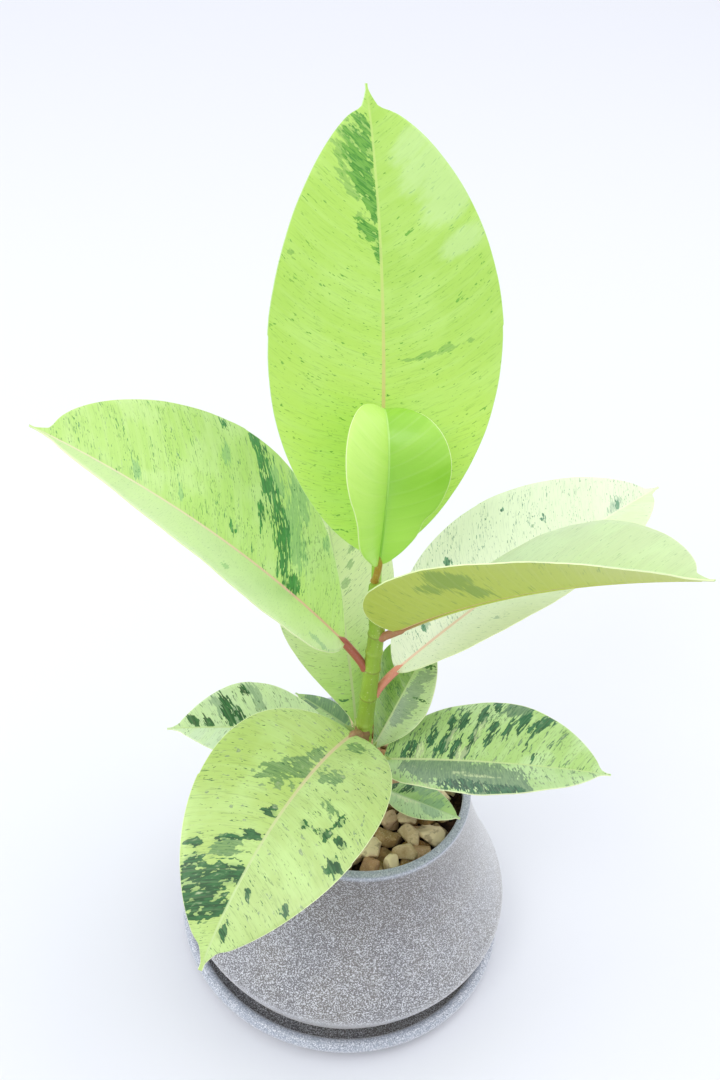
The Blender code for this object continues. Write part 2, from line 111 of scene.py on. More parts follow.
def bezier(corners: Sequence[Sequence[float]], steps: int) -> list[tuple[float, ...]]:
    """Points on a curve that starts and ends at its outer corners.

    Args:
        corners: Start, guides and end, with any number of coordinates each.
        steps: How many stretches the curve has.

    Returns:
        Points with as many coordinates, both ends included.
    """
    degree = len(corners) - 1
    control = np.array(corners, float)
    points = []
    for t in np.linspace(0.0, 1.0, steps + 1):
        weights = [math.comb(degree, k) * t ** k * (1.0 - t) ** (degree - k) for k in range(degree + 1)]
        points.append(tuple(np.array(weights) @ control))
    return points


class Wire:
    """A node's output that can be written in sums: each sum adds its own Math node."""

    def __init__(self, sheet: "NodeSheet", socket: bpy.types.NodeSocket) -> None:
        """Keeps the sheet that the output belongs to."""
        self.sheet = sheet
        self.socket = socket

    def _sum(self, operation: str, first: "Wire | float", second: "Wire | float" = 0.0) -> "Wire":
        """Adds one Math node to the sheet."""
        return self.sheet.add("ShaderNodeMath", {"operation": operation}, {0: first, 1: second})

    def __add__(self, other: "Wire | float") -> "Wire":
        """self + other."""
        return self._sum("ADD", self, other)

    def __radd__(self, other: float) -> "Wire":
        """other + self."""
        return self._sum("ADD", other, self)

    def __sub__(self, other: "Wire | float") -> "Wire":
        """self - other."""
        return self._sum("SUBTRACT", self, other)

    def __rsub__(self, other: float) -> "Wire":
        """other - self."""
        return self._sum("SUBTRACT", other, self)

    def __mul__(self, other: "Wire | float") -> "Wire":
        """self * other."""
        return self._sum("MULTIPLY", self, other)

    def __rmul__(self, other: float) -> "Wire":
        """other * self."""
        return self._sum("MULTIPLY", other, self)

    def __truediv__(self, other: "Wire | float") -> "Wire":
        """self / other."""
        return self._sum("DIVIDE", self, other)

    def __abs__(self) -> "Wire":
        """The value without its sign."""
        return self._sum("ABSOLUTE", self)

    def above(self, level: float) -> "Wire":
        """1 where the value is greater than level, else 0."""
        return self._sum("GREATER_THAN", self, level)

    def most(self, other: "Wire | float") -> "Wire":
        """The greater of the two values."""
        return self._sum("MAXIMUM", self, other)

    def wave(self) -> "Wire":
        """The value's cosine."""
        return self._sum("COSINE", self)

    def rise(self, low: float, high: float) -> "Wire":
        """Passes softly from 0 at low to 1 at high, which may be the smaller of the two."""
        settings = {"interpolation_type": "SMOOTHSTEP"}
        return self.sheet.add("ShaderNodeMapRange", settings, {0: self, 1: low, 2: high})


class NodeSheet:
    """A node tree that is written down as expressions."""

    def __init__(self, tree: bpy.types.NodeTree) -> None:
        """Keeps the tree that the nodes go to."""
        self.tree = tree

    def add(self, kind: str, settings: Mapping[str, object], inputs: Mapping[int | str, object],
            output: int | str = 0) -> Wire:
        """Adds a node: its settings come first, then the values or links of its sockets.

        Args:
            kind: Blender's name for the node.
            settings: Its own properties.
            inputs: Values or wires by socket name or number.
            output: The socket that is passed on.

        Returns:
            That output, ready for sums.
        """
        made = self.tree.nodes.new(kind)
        for key, value in settings.items():
            setattr(made, key, value)
        for key, value in inputs.items():
            self.join(made.inputs[key], value)
        return Wire(self, made.outputs[output])

    def join(self, socket: bpy.types.NodeSocket, value: object) -> None:
        """Links a wire to a socket, or sets the socket's value.

        Args:
            socket: The input that is fed.
            value: A wire, a colour, or plain numbers.
        """
        if isinstance(value, Wire):
            self.tree.links.new(value.socket, socket)
        elif isinstance(value, str):
            socket.default_value = (*tint(value), 1.0)
        else:
            socket.default_value = value


class ShaderSheet(NodeSheet):
    """One material's nodes."""

    def __init__(self, name: str, gloss: "Gloss") -> None:
        """Starts a material whose constant values are set on the shader itself.

        Args:
            name: The material's name.
            gloss: The values that are alike all over the surface.
        """
        self.material = bpy.data.materials.new(name)
        self.material.use_nodes = True
        super().__init__(self.material.node_tree)
        self.shader = next(node for node in self.tree.nodes if node.type == "BSDF_PRINCIPLED")
        self.paint({
            "Roughness": gloss.roughness,
            "Specular IOR Level": gloss.specular,
            "Coat Weight": gloss.coat,
            "Coat Roughness": gloss.coat_roughness,
            "Sheen Weight": gloss.sheen,
        })

    def paint(self, values: Mapping[str, object]) -> None:
        """Feeds the main shader's sockets by their names."""
        for key, value in values.items():
            self.join(self.shader.inputs[key], value)

    def blend(self, share: Wire | float, first: Wire | Colour, second: Wire | Colour) -> Wire:
        """Mixes two colours: share 0 gives the first and 1 the second."""
        return self.add("ShaderNodeMix", {"data_type": "RGBA"}, {0: share, 6: first, 7: second}, 2)

    def grain(self, vector: Wire, scale: float, detail: float = 2.0, roughness: float = 0.5) -> Wire:
        """Soft random values of about 0.3 to 0.7, with scale bumps in each unit of vector."""
        inputs = {"Vector": vector, "Scale": scale, "Detail": detail, "Roughness": roughness}
        return self.add("ShaderNodeTexNoise", {}, inputs)

    def vector(self, x: Wire | float, y: Wire | float, z: Wire | float) -> Wire:
        """Three values as one vector."""
        return self.add("ShaderNodeCombineXYZ", {}, {0: x, 1: y, 2: z})

    def attribute(self, name: str) -> tuple[Wire, Wire, Wire]:
        """The three values that the mesh carries under a name."""
        vector = self.add("ShaderNodeAttribute", {"attribute_name": name}, {}, "Vector")
        return tuple(self.add("ShaderNodeSeparateXYZ", {}, {0: vector}, axis) for axis in range(3))

    def place(self) -> Wire:
        """The surface point's own place, in metres."""
        return self.add("ShaderNodeTexCoord", {}, {}, "Object")

    def relief(self, height: Wire, depth: float) -> Wire:
        """A bump of height 0 to 1 that stands depth millimetres proud."""
        return self.add("ShaderNodeBump", {}, {"Distance": depth * MM, "Height": height})


@dataclass(frozen=True)
class Gloss:
    """The values of a surface that are alike all over it."""

    roughness: float
    specular: float = 0.5
    coat: float = 0.0
    coat_roughness: float = 0.2
    sheen: float = 0.0


@dataclass(frozen=True)
class StonewareFinish:
    """Cast grey composite, thickly flecked with pale grains, lighter and bluish along its rim and lip
    as a painted sheen.

    It is darker, browner and less flecked towards the pot's neck, between neck_shade_heights in
    metres: painted shade, where the leaves above shade the neck.
    """

    body: Colour = "#666569"
    cloud: Colour = "#6c6864"
    fleck: Colour = "#dfe2e8"
    pit: Colour = "#454548"
    # edge is a painted sheen: lighter and bluish where the rim and the lip face the sky.
    edge: Colour = "#a4b0c2"
    # neck is painted shade: the neck is darker and browner towards the rim.
    neck: Colour = "#463d36"
    neck_shade_heights: Point = (0.045, 0.105)
    cloud_scale: float = 45.0
    worm_scale: float = 1500.0
    dot_scale: float = 2100.0
    patch_scale: float = 260.0
    pit_depth: float = 0.12
    gloss: Gloss = Gloss(roughness=0.42, specular=0.6, coat=1.0, coat_roughness=0.28, sheen=0.4)

    def material(self) -> bpy.types.Material:
        """Builds the material on the piece's own place.

        Returns:
            The finished material.
        """
        sheet = ShaderSheet("speckled_stoneware", self.gloss)
        place = sheet.place()
        edge = sheet.attribute("edge")[0]
        # How far into the painted shade of the neck a place lies, from 0 to 1.
        neck = sheet.add("ShaderNodeSeparateXYZ", {}, {0: place}, 2).rise(*self.neck_shade_heights)
        clouds = sheet.grain(place, self.cloud_scale, 3.0)
        worms = sheet.grain(place, self.worm_scale, 2.0, 0.6)
        dots = sheet.grain(place, self.dot_scale, 1.0)
        patchy = sheet.grain(place, self.patch_scale, 1.0)
        fleck = (worms + 0.10 * (patchy - 0.5)).rise(0.53, 0.60)
        speck = dots.rise(0.60, 0.66)
        pit = (1.0 - worms).rise(0.62, 0.70)
        base = sheet.blend(clouds.rise(0.35, 0.65), self.body, self.cloud)
        # Painted shade towards the neck.
        base = sheet.blend(neck * 0.8, base, self.neck)
        # Painted sheen on the rim and the lip.
        base = sheet.blend(edge * 0.7, base, self.edge)
        base = sheet.blend(pit * 0.85, base, self.pit)
        # Fewer pale flecks towards the neck, as part of the painted shade.
        pale = (fleck * 0.62).most(speck * 0.95) * (1.25 - 0.6 * neck)
        base = sheet.blend(pale, base, self.fleck)
        height = 0.5 + 0.3 * (worms - 0.5) - 0.5 * pit
        sheet.paint({
            "Base Color": base,
            "Roughness": 0.38 + 0.16 * clouds - 0.06 * fleck,
            "Normal": sheet.relief(height, self.pit_depth),
        })
        return sheet.material


@dataclass(frozen=True)
class SoilFinish:
    """Dark, crumbly peat and bark."""

    peat: Colour = "#2e2119"
    bark: Colour = "#5a4130"
    crumb_scale: float = 420.0
    crumb_depth: float = 1.2
    gloss: Gloss = Gloss(roughness=0.95, specular=0.25)

    def material(self) -> bpy.types.Material:
        """Builds the material on the piece's own place.

        Returns:
            The finished material.
        """
        sheet = ShaderSheet("potting_soil", self.gloss)
        place = sheet.place()
        crumbs = sheet.grain(place, self.crumb_scale, 4.0, 0.65)
        base = sheet.blend(crumbs.rise(0.42, 0.66), self.peat, self.bark)
        sheet.paint({"Base Color": base, "Normal": sheet.relief(crumbs, self.crumb_depth)})
        return sheet.material


@dataclass(frozen=True)
class PebbleFinish:
    """Matte tan, ochre and brown river stones. Each stone's tone comes from the mesh."""

    tan: Colour = "#ecdbb0"
    brown: Colour = "#91703c"
    stain: Colour = "#5d4526"
    pink: Colour = "#c39a78"
    grain: Colour = "#e8dcbc"
    cloud_scale: float = 220.0
    grain_scale: float = 1400.0
    grain_depth: float = 0.5
    gloss: Gloss = Gloss(roughness=0.8, specular=0.35)

    def material(self) -> bpy.types.Material:
        """Builds the material on each stone's tone and place.

        Returns:
            The finished material.
        """
        sheet = ShaderSheet("tan_pebbles", self.gloss)
        tone, warmth, seed = sheet.attribute("tone")
        moved = {0: sheet.place(), 1: sheet.vector(seed, seed, seed)}
        place = sheet.add("ShaderNodeVectorMath", {"operation": "ADD"}, moved)
        clouds = sheet.grain(place, self.cloud_scale, 4.0, 0.6)
        fine = sheet.grain(place, self.grain_scale, 3.0, 0.6)
        # tone is darker on the lower layer: painted shade in the gaps between the upper stones.
        base = sheet.blend((tone + 0.5 * (clouds - 0.5)).rise(0.35, 0.95), self.tan, self.brown)
        base = sheet.blend(warmth.rise(0.6, 1.0) * 0.6, base, self.pink)
        base = sheet.blend(fine.rise(0.52, 0.72) * 0.4, base, self.grain)
        base = sheet.blend((1.0 - clouds).rise(0.55, 0.68) * 0.55, base, self.stain)
        height = 0.6 * clouds + 0.4 * fine
        sheet.paint({"Base Color": base, "Normal": sheet.relief(height, self.grain_depth)})
        return sheet.material


@dataclass(frozen=True)
class StemFinish:
    """Young green bark with brown node rings, pale pores and a corky scar."""

    green: Colour = "#92b23e"
    olive: Colour = "#7f9a35"
    ring: Colour = "#7b7a38"
    cork: Colour = "#8a6a45"
    pore: Colour = "#d8dfa0"
    streak_scale: float = 900.0
    streak_draw: tuple[float, float, float] = (1.0, 1.0, 0.2)
    pore_scale: float = 1100.0
    cork_scale: float = 700.0
    bark_depth: float = 0.25
    gloss: Gloss = Gloss(roughness=0.42)

    def material(self) -> bpy.types.Material:
        """Builds the material on the rings that the mesh carries.

        Returns:
            The finished material.
        """
        sheet = ShaderSheet("green_stem", self.gloss)
        ring, cork, _ = sheet.attribute("bark")
        place = sheet.place()
        drawn_out = sheet.add("ShaderNodeMapping", {}, {"Vector": place, "Scale": self.streak_draw})
        streaks = sheet.grain(drawn_out, self.streak_scale, 3.0)
        pores = sheet.grain(place, self.pore_scale, 1.0)
        rough = sheet.grain(place, self.cork_scale, 4.0, 0.7)
        base = sheet.blend(streaks.rise(0.45, 0.75) * 0.45, self.green, self.olive)
        base = sheet.blend(pores.rise(0.68, 0.74) * 0.5, base, self.pore)
        base = sheet.blend((cork + rough - 0.5).rise(0.35, 0.6), base, self.cork)
        base = sheet.blend((ring + 0.5 * (rough - 0.5)).rise(0.3, 0.8) * 0.6, base, self.ring)
        sheet.paint({
            "Base Color": base,
            "Roughness": 0.38 + 0.35 * cork + 0.1 * streaks,
            "Normal": sheet.relief(0.5 * streaks + cork * rough, self.bark_depth),
        })
        return sheet.material


@dataclass(frozen=True)
class LeafPaint:
    """A leaf's colours and markings. A pair holds the right and the left half, seen from the stalk.

    A patch is its place across (positive on the left) and along the leaf, its half length along the
    side veins, and its half width. lean is the side veins' slope at the foot and at the tip, and a
    small stretch draws the patches' ragged ends out along them. torn is how far fine dashes break
    the patches up, and solid how fully they cover. filled tones the gaps in the dark patches, and
    sheen_haze makes the pale patches fade softly. foot is the colour near the stalk, if it differs.
    Besides the leaf's own colour, the halves and the foot carry painted light and shade: they are
    lightened where other leaves and the blade's fold shade them, and a half that turns from the light
    is darker. The pale patches are the leaf's own pale markings, and on leaf_top a painted sheen.
    """

    halves: tuple[Colour, Colour]
    under: Colour
    rib: tuple[Colour, Colour]
    stalk: Colour
    shade: Colour
    flecks: Point
    mottle: float = 0.0
    milk: float = 0.4
    margin: Colour = "#eaf4bf"
    glow: Colour = "#d3efa0"
    fleck: Colour = "#2f7440"
    leaf_green: Colour = "#4f9a45"
    dark: tuple[Patch, ...] = ()
    dull: tuple[Patch, ...] = ()
    pale: tuple[Patch, ...] = ()
    foot: Colour | None = None
    lean: Point = (0.15, 0.6)
    stretch: float = 0.18
    torn: float = 0.4
    solid: float = 0.28
    filled: float = 0.0
    sheen_haze: float = 0.0

    def lean_at(self, share: "float | np.ndarray | Wire") -> "float | np.ndarray | Wire":
        """How far the side veins lean towards the tip, at a share of the leaf's length."""
        return lerp(self.lean, share)


class Face(Enum):
    """The two faces of a blade."""

    UPPER = "upper"
    UNDER = "under"


@dataclass(frozen=True)
class BladeFinish:
    """A leathery, satin blade: fine side veins, flecks drawn out along them, soft dull patches.

    The pattern lives on the veins: reach is the way out from the midrib along a side vein, and vein
    tells the side veins apart, both in millimetres. Its scales count bumps in a millimetre too.
    """

    name: str
    paint: LeafPaint
    length: float
    rib_width: float
    seed: float
    face: Face
    vein_bend: float = 0.004
    cloud_scale: float = 0.05
    leather_scale: float = 2.2
    upper_depth: float = 0.10
    under_depth: float = 0.22
    under_roughness: float = 0.16
    gloss: Gloss = Gloss(roughness=0.36, specular=0.4, coat=0.25)

    def material(self) -> bpy.types.Material:
        """Builds one face's material on the places and tones that the blade carries.

        Returns:
            The finished material.
        """
        sheet = ShaderSheet(f"{self.name}_{self.face.value}", self.gloss)
        across, along, edge = sheet.attribute("place")
        tones = sheet.attribute("tone")
        reach = abs(across)
        share = along / self.length
        vein = along - reach * self.paint.lean_at(share) - reach * reach * self.vein_bend
        half = across.above(0.0) * 37.0 + self.seed

        def streaks(fineness: float, spread: float, shift: float, detail: float = 2.0) -> Wire:
            """Random streaks, so many across the veins and along them; shift keeps patterns apart."""
            return sheet.grain(sheet.vector(reach * spread, vein * fineness, half + shift), 1.0, detail)

        fibre = streaks(2.2, 0.2, 3.0)
        band = streaks(0.20, 0.03, 7.0)
        veins = (vein * (math.tau / VEIN_SPACING) + 3.0 * (band - 0.5)).wave()
        flat = sheet.vector(across, along, self.seed)
        cloud = sheet.grain(flat, self.cloud_scale, 3.0)
        base = self._ground(sheet, across, share, band, cloud, fibre)
        if self.face is Face.UPPER:
            if max(self.paint.flecks) > 0.0:
                base = self._markings(sheet, base, streaks, across, tones, fibre)
        else:
            blot = streaks(0.40, 0.10, 17.0, 3.0)
            stroke = streaks(1.4, 0.10, 29.0)
            clouded = (0.45 * blot + 0.55 * stroke + 0.24 * tones[0] + 0.12 * tones[1]).rise(0.56, 0.68)
            base = sheet.blend(clouded * 0.75, base, self.paint.shade)
        base = sheet.blend(veins.rise(0.8, 1.0) * 0.05, base, self.paint.margin)
        base = self._rib(sheet, base, reach - self.rib_width * (1.0 - 0.6 * share), share)
        base = sheet.blend(edge.rise(0.30, 0.12) * 0.8, base, self.paint.margin)
        leather = sheet.grain(flat, self.leather_scale)
        height = 0.3 * veins.rise(0.2, 1.0) + 0.15 * leather + 0.3 * fibre
        under = self.face is Face.UNDER
        sheet.paint({
            "Base Color": base,
            "Roughness": 0.30 + 0.12 * leather + (self.under_roughness if under else 0.0),
            "Normal": sheet.relief(height, self.under_depth if under else self.upper_depth),
        })
        return sheet.material

    def _ground(self, sheet: ShaderSheet, across: Wire, share: Wire, band: Wire, cloud: Wire,
                fibre: Wire) -> Wire:
        """Lays the blade's colour, with the painted light and shade in its halves and foot, in soft
        bands along the veins and clouds.

        Args:
            sheet: The material's sheet.
            across: The place across the blade.
            share: The place along it, from 0 to 1.
            band: Broad random bands between the veins.
            cloud: Random clouds.
            fibre: Fine random streaks along the veins.

        Returns:
            The colour before its markings.
        """
        # The halves carry painted light and shade as well as the leaf's own colour.
        right, left = self.paint.halves
        if self.face is Face.UNDER:
            right = left = self.paint.under
        base = sheet.blend(across.rise(-0.6, 0.6), right, left)
        if self.face is Face.UPPER:
            # On most leaves the foot colour is lightened, as painted light on the shaded lower blade.
            if self.paint.foot:
                base = sheet.blend(share.rise(0.6, 0.15) * 0.85, base, self.paint.foot)
            base = sheet.blend(band.rise(0.44, 0.66) * 0.22, base, self.paint.glow)
            base = sheet.blend(cloud.rise(0.47, 0.66) * self.paint.milk, base, self.paint.glow)
        return sheet.blend(fibre.rise(0.50, 0.76) * 0.10, base, self.paint.shade)

    def _markings(self, sheet: ShaderSheet, base: Wire, streaks: Callable[..., Wire], across: Wire,
                  tones: tuple[Wire, Wire, Wire], fibre: Wire) -> Wire:
        """Lays the dull patches, then faint streaks, specks, dashes, and dark and pale patches.

        Args:
            sheet: The material's sheet.
            base: The colour that they lie on.
            streaks: Makes random streaks along the veins.
            across: The place across the blade.
            tones: How dark, dull and pale the mesh says that the place is.
            fibre: Fine random streaks along the veins.

        Returns:
            The marked colour.
        """
        dark, dull, pale = tones
        crumb = streaks(1.9, 0.6, 11.0, 1.0)
        dash = streaks(1.4, 0.38, 13.0, 1.0)
        blot = streaks(0.50, self.paint.stretch, 17.0, 4.0)
        clump = streaks(0.14, 0.07, 23.0)
        right, left = self.paint.flecks
        amount = right + across.above(0.0) * (left - right)
        thick = (0.5 + 1.0 * clump.rise(0.40, 0.62)) * amount
        ragged = blot + self.paint.torn * (dash - blot)
        soft = (ragged + 0.28 * dull + 0.06 * self.paint.mottle).rise(0.645, 0.70)
        base = sheet.blend(soft * (0.72 + 0.16 * fibre.rise(0.4, 0.6)), base, self.paint.shade)
        if self.paint.filled:
            base = sheet.blend(dark.rise(0.45, 0.95) * self.paint.filled, base, self.paint.shade)
        faint = (fibre + 0.06 * thick).rise(0.58, 0.72)
        base = sheet.blend(faint * 0.15, base, self.paint.fleck)
        specks = (crumb + 0.08 * thick).rise(0.745, 0.78)
        dashes = (dash + 0.08 * thick).rise(0.745, 0.775)
        patches = (ragged + self.paint.solid * dark).rise(0.655, 0.69)
        mixed = (0.5 * blot + 0.5 * fibre).rise(0.45, 0.56)
        ink = sheet.blend(mixed, self.paint.fleck, self.paint.leaf_green)
        force = 0.45 + 0.5 * blot.rise(0.42, 0.60)
        base = sheet.blend((specks.most(dashes) * force).most(patches * 0.95), base, ink)
        # The pale veil: the leaf's own pale markings, and on leaf_top a painted sheen, softened by
        # sheen_haze.
        veil = ragged * (1.0 - self.paint.sheen_haze) + 0.5 * self.paint.sheen_haze + 0.28 * pale
        return sheet.blend(veil.rise(0.60, 0.76) * 0.5, base, self.paint.margin)

    def _rib(self, sheet: ShaderSheet, base: Wire, past: Wire, share: Wire) -> Wire:
        """Paints the midrib, which changes colour from the stalk to the tip.

        Args:
            sheet: The material's sheet.
            base: The colour on both sides of it.
            past: How far the place lies beyond the midrib's edge.
            share: The place along the blade, from 0 to 1.

        Returns:
            The colour with the midrib.
        """
        foot, tip = self.paint.rib
        colour = sheet.blend(share.rise(0.05, 0.8), foot, tip)
        return sheet.blend(past.rise(0.25, -0.1) * share.rise(1.0, 0.93) * 0.85, base, colour)


@dataclass(frozen=True)
class StalkFinish:
    """The stalk and the rib below the blade: coloured at the stem, greener towards the tip."""

    name: str
    paint: LeafPaint
    length: float
    mottle_scale: float = 700.0
    mottle_depth: float = 0.12
    gloss: Gloss = Gloss(roughness=0.38)

    def material(self) -> bpy.types.Material:
        """Builds the material on the place along the stalk.

        Returns:
            The finished material.
        """
        sheet = ShaderSheet(f"{self.name}_stalk", self.gloss)
        along = sheet.attribute("place")[1]
        mottle = sheet.grain(sheet.place(), self.mottle_scale, 3.0)
        greener = (along + 6.0 * (mottle - 0.5)).rise(-1.0, self.length * 0.25)
        base = sheet.blend(greener, self.paint.stalk, self.paint.under)
        base = sheet.blend(mottle.rise(0.5, 0.75) * 0.12, base, self.paint.margin)
        sheet.paint({
            "Base Color": base,
            "Roughness": 0.34 + 0.14 * mottle,
            "Normal": sheet.relief(mottle, self.mottle_depth),
        })
        return sheet.material


def pick(piece: bpy.types.Object) -> None:
    """Makes one piece the only one that an operator acts on.

    Args:
        piece: The piece to select.
    """
    bpy.ops.object.select_all(action="DESELECT")
    piece.select_set(True)
    bpy.context.view_layer.objects.active = piece


def start_piece(name: str, add: Callable[..., object], **settings: object) -> bpy.types.Object:
    """Adds something with nothing else selected, and names it.

    Args:
        name: The new object's name.
        add: The operator that adds it.
        **settings: The operator's own settings.

    Returns:
        The new object.
    """
    bpy.ops.object.select_all(action="DESELECT")
    add(**settings)
    piece = bpy.context.object
    piece.name = name
    piece.data.name = name
    return piece


def extent(node: str) -> tuple[Vector, Vector]:
    """The lowest and highest corners of a plain solid, in millimetres."""
    return tuple(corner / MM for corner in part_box(node))


def apply_modifiers(piece: bpy.types.Object) -> None:
    """Applies a piece's modifiers, in their order.

    Args:
        piece: The piece that has them.
    """
    pick(piece)
    for modifier in list(piece.modifiers):
        bpy.ops.object.modifier_apply(modifier=modifier.name)


def shade_smooth(piece: bpy.types.Object, degrees: float = 60.0) -> None:
    """Shades a piece smooth, with a crease where its faces meet more sharply than that."""
    pick(piece)
    bpy.ops.object.shade_smooth_by_angle(angle=math.radians(degrees))


def carry(piece: bpy.types.Object, name: str, *values: np.ndarray | float) -> None:
    """Stores up to three values for each vertex, for the piece's material to read.

    Args:
        piece: The piece that carries them.
        name: What the material calls them.
        *values: One array, or one number for the whole piece, for each value.
    """
    stored = np.zeros((len(piece.data.vertices), 3), np.float32)
    for column, value in enumerate(values):
        stored[:, column] = value
    layer = piece.data.attributes.new(name, "FLOAT_VECTOR", "POINT")
    layer.data.foreach_set("vector", stored.ravel())


def corners_of(piece: bpy.types.Object) -> np.ndarray:
    """Reads all vertices of a piece.

    Args:
        piece: The piece to read.

    Returns:
        Their places in millimetres.
    """
    flat = np.zeros(len(piece.data.vertices) * 3, np.float32)
    piece.data.vertices.foreach_get("co", flat)
    return flat.reshape(-1, 3) / MM


def move_corners(piece: bpy.types.Object, places: np.ndarray) -> None:
    """Puts a piece's vertices at places given in millimetres."""
    piece.data.vertices.foreach_set("co", (places * MM).astype(np.float32).ravel())
    piece.data.update()


def turn_profile(name: str, profile: Sequence[Point], segments: int) -> bpy.types.Object:
    """Turns a profile round the upright axis, as on a potter's wheel.

    Args:
        name: The new piece's name.
        profile: Points as radius and height.
        segments: How many steps the turn has.

    Returns:
        The turned piece, closed and with its faces outwards.
    """
    piece = start_piece(name, bpy.ops.mesh.primitive_plane_add, size=MM)
    bpy.ops.object.mode_set(mode="EDIT")
    bpy.ops.mesh.select_all(action="SELECT")
    bpy.ops.mesh.merge(type="CENTER")
    here = Vector((0.0, 0.0, 0.0))
    for index, (radius, height) in enumerate(profile):
        target = Vector((radius, 0.0, height)) * MM
        if index:
            bpy.ops.mesh.extrude_region_move(TRANSFORM_OT_translate={"value": target - here})
        else:
            bpy.ops.transform.translate(value=target)
        here = target
    bpy.ops.mesh.select_all(action="SELECT")
    bpy.ops.mesh.spin(steps=segments, angle=math.tau, center=(0, 0, 0), axis=(0, 0, 1))
    bpy.ops.mesh.select_all(action="SELECT")
    bpy.ops.mesh.remove_doubles(threshold=WELD)
    bpy.ops.mesh.normals_make_consistent(inside=False)
    bpy.ops.object.mode_set(mode="OBJECT")
    return piece


def draw_tube(name: str, path: np.ndarray, radii: np.ndarray) -> bpy.types.Object:
    """Draws a tapered round tube along a path.

    Args:
        name: The new piece's name.
        path: Points of its middle, in millimetres.
        radii: Its radius at each point, in millimetres.

    Returns:
        The tube as a closed mesh.
    """
    piece = start_piece(name, bpy.ops.curve.primitive_bezier_curve_add)
    curve = piece.data
    curve.splines.clear()
    spline = curve.splines.new("POLY")
    spline.points.add(len(path) - 1)
    for point, place, radius in zip(spline.points, path, radii):
        point.co = (*(place * MM), 1.0)
        point.radius = radius
    curve.dimensions = "3D"
    curve.bevel_depth = MM
    curve.bevel_resolution = 4
    curve.use_fill_caps = True
    bpy.ops.object.convert(target="MESH")
    return piece


def hand_over(piece: bpy.types.Object, node: str, slot: str, *finishes: bpy.types.Material) -> None:
    """Gives a finished piece its materials and its place in the object.

    Args:
        piece: The finished piece, at the origin.
        node: The plain solid that it stands for.
        slot: The record's material slot; not used.
        finishes: Its materials, in the order of its slots.
    """
    piece.data.materials.clear()
    for finish in finishes:
        piece.data.materials.append(finish)
    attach(piece, BODY)
    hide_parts(node)
    log.info("%s: %d faces", piece.name, len(piece.data.polygons))


@dataclass(frozen=True)
class Saucer:
    """A shallow dish with an upright, rounded lip. Its outer size comes from the frame.

    Its bluish, lighter tint, a painted sheen on the lip, sets in between sheen_heights, and between
    sheen_reach from the lip's inner side.
    """

    inset: float = 1.2
    foot_radius: float = 72.5
    foot_bead: float = 0.5
    floor: float = 4.0
    lip_width: float = 5.6
    side_foot: Point = (75.5, 3.0)
    side_bend: Point = (76.0, 3.6)
    side_top: float = 8.5
    corner: float = 2.2
    # Where the painted sheen on the lip lies.
    sheen_heights: Point = (3.0, 8.0)
    sheen_reach: Point = (-1.0, 1.5)
    crease: float = 50.0
    segments: int = 160

    def build(self, finish: bpy.types.Material) -> None:
        """Turns the saucer and dresses it.

        Args:
            finish: The saucer's material.
        """
        high = extent("saucer")[1]
        radius = high.x - self.inset
        inner = radius - self.lip_width
        bead, lip, corner = self.foot_bead, self.lip_width / 2, self.corner
        profile = [(0.0, 0.0)]
        profile += arc((self.foot_radius - bead, bead), bead, -90, -35, 3)
        profile += [self.side_foot, self.side_bend, (radius, self.side_top)]
        profile += arc((radius - lip, high.z - lip), lip, 0, 180, 14)
        profile += arc((inner - corner, self.floor + corner), corner, 0, -90, 6)
        profile.append((0.0, self.floor))
        piece = turn_profile("saucer_turned", profile, self.segments)
        places = corners_of(piece)
        start, full = self.sheen_reach
        out = smooth(np.hypot(places[:, 0], places[:, 1]), inner + start, inner + full)
        # edge marks the painted sheen on the lip.
        carry(piece, "edge", out * smooth(places[:, 2], *self.sheen_heights))
        shade_smooth(piece, self.crease)
        hand_over(piece, "saucer", "stoneware", finish)


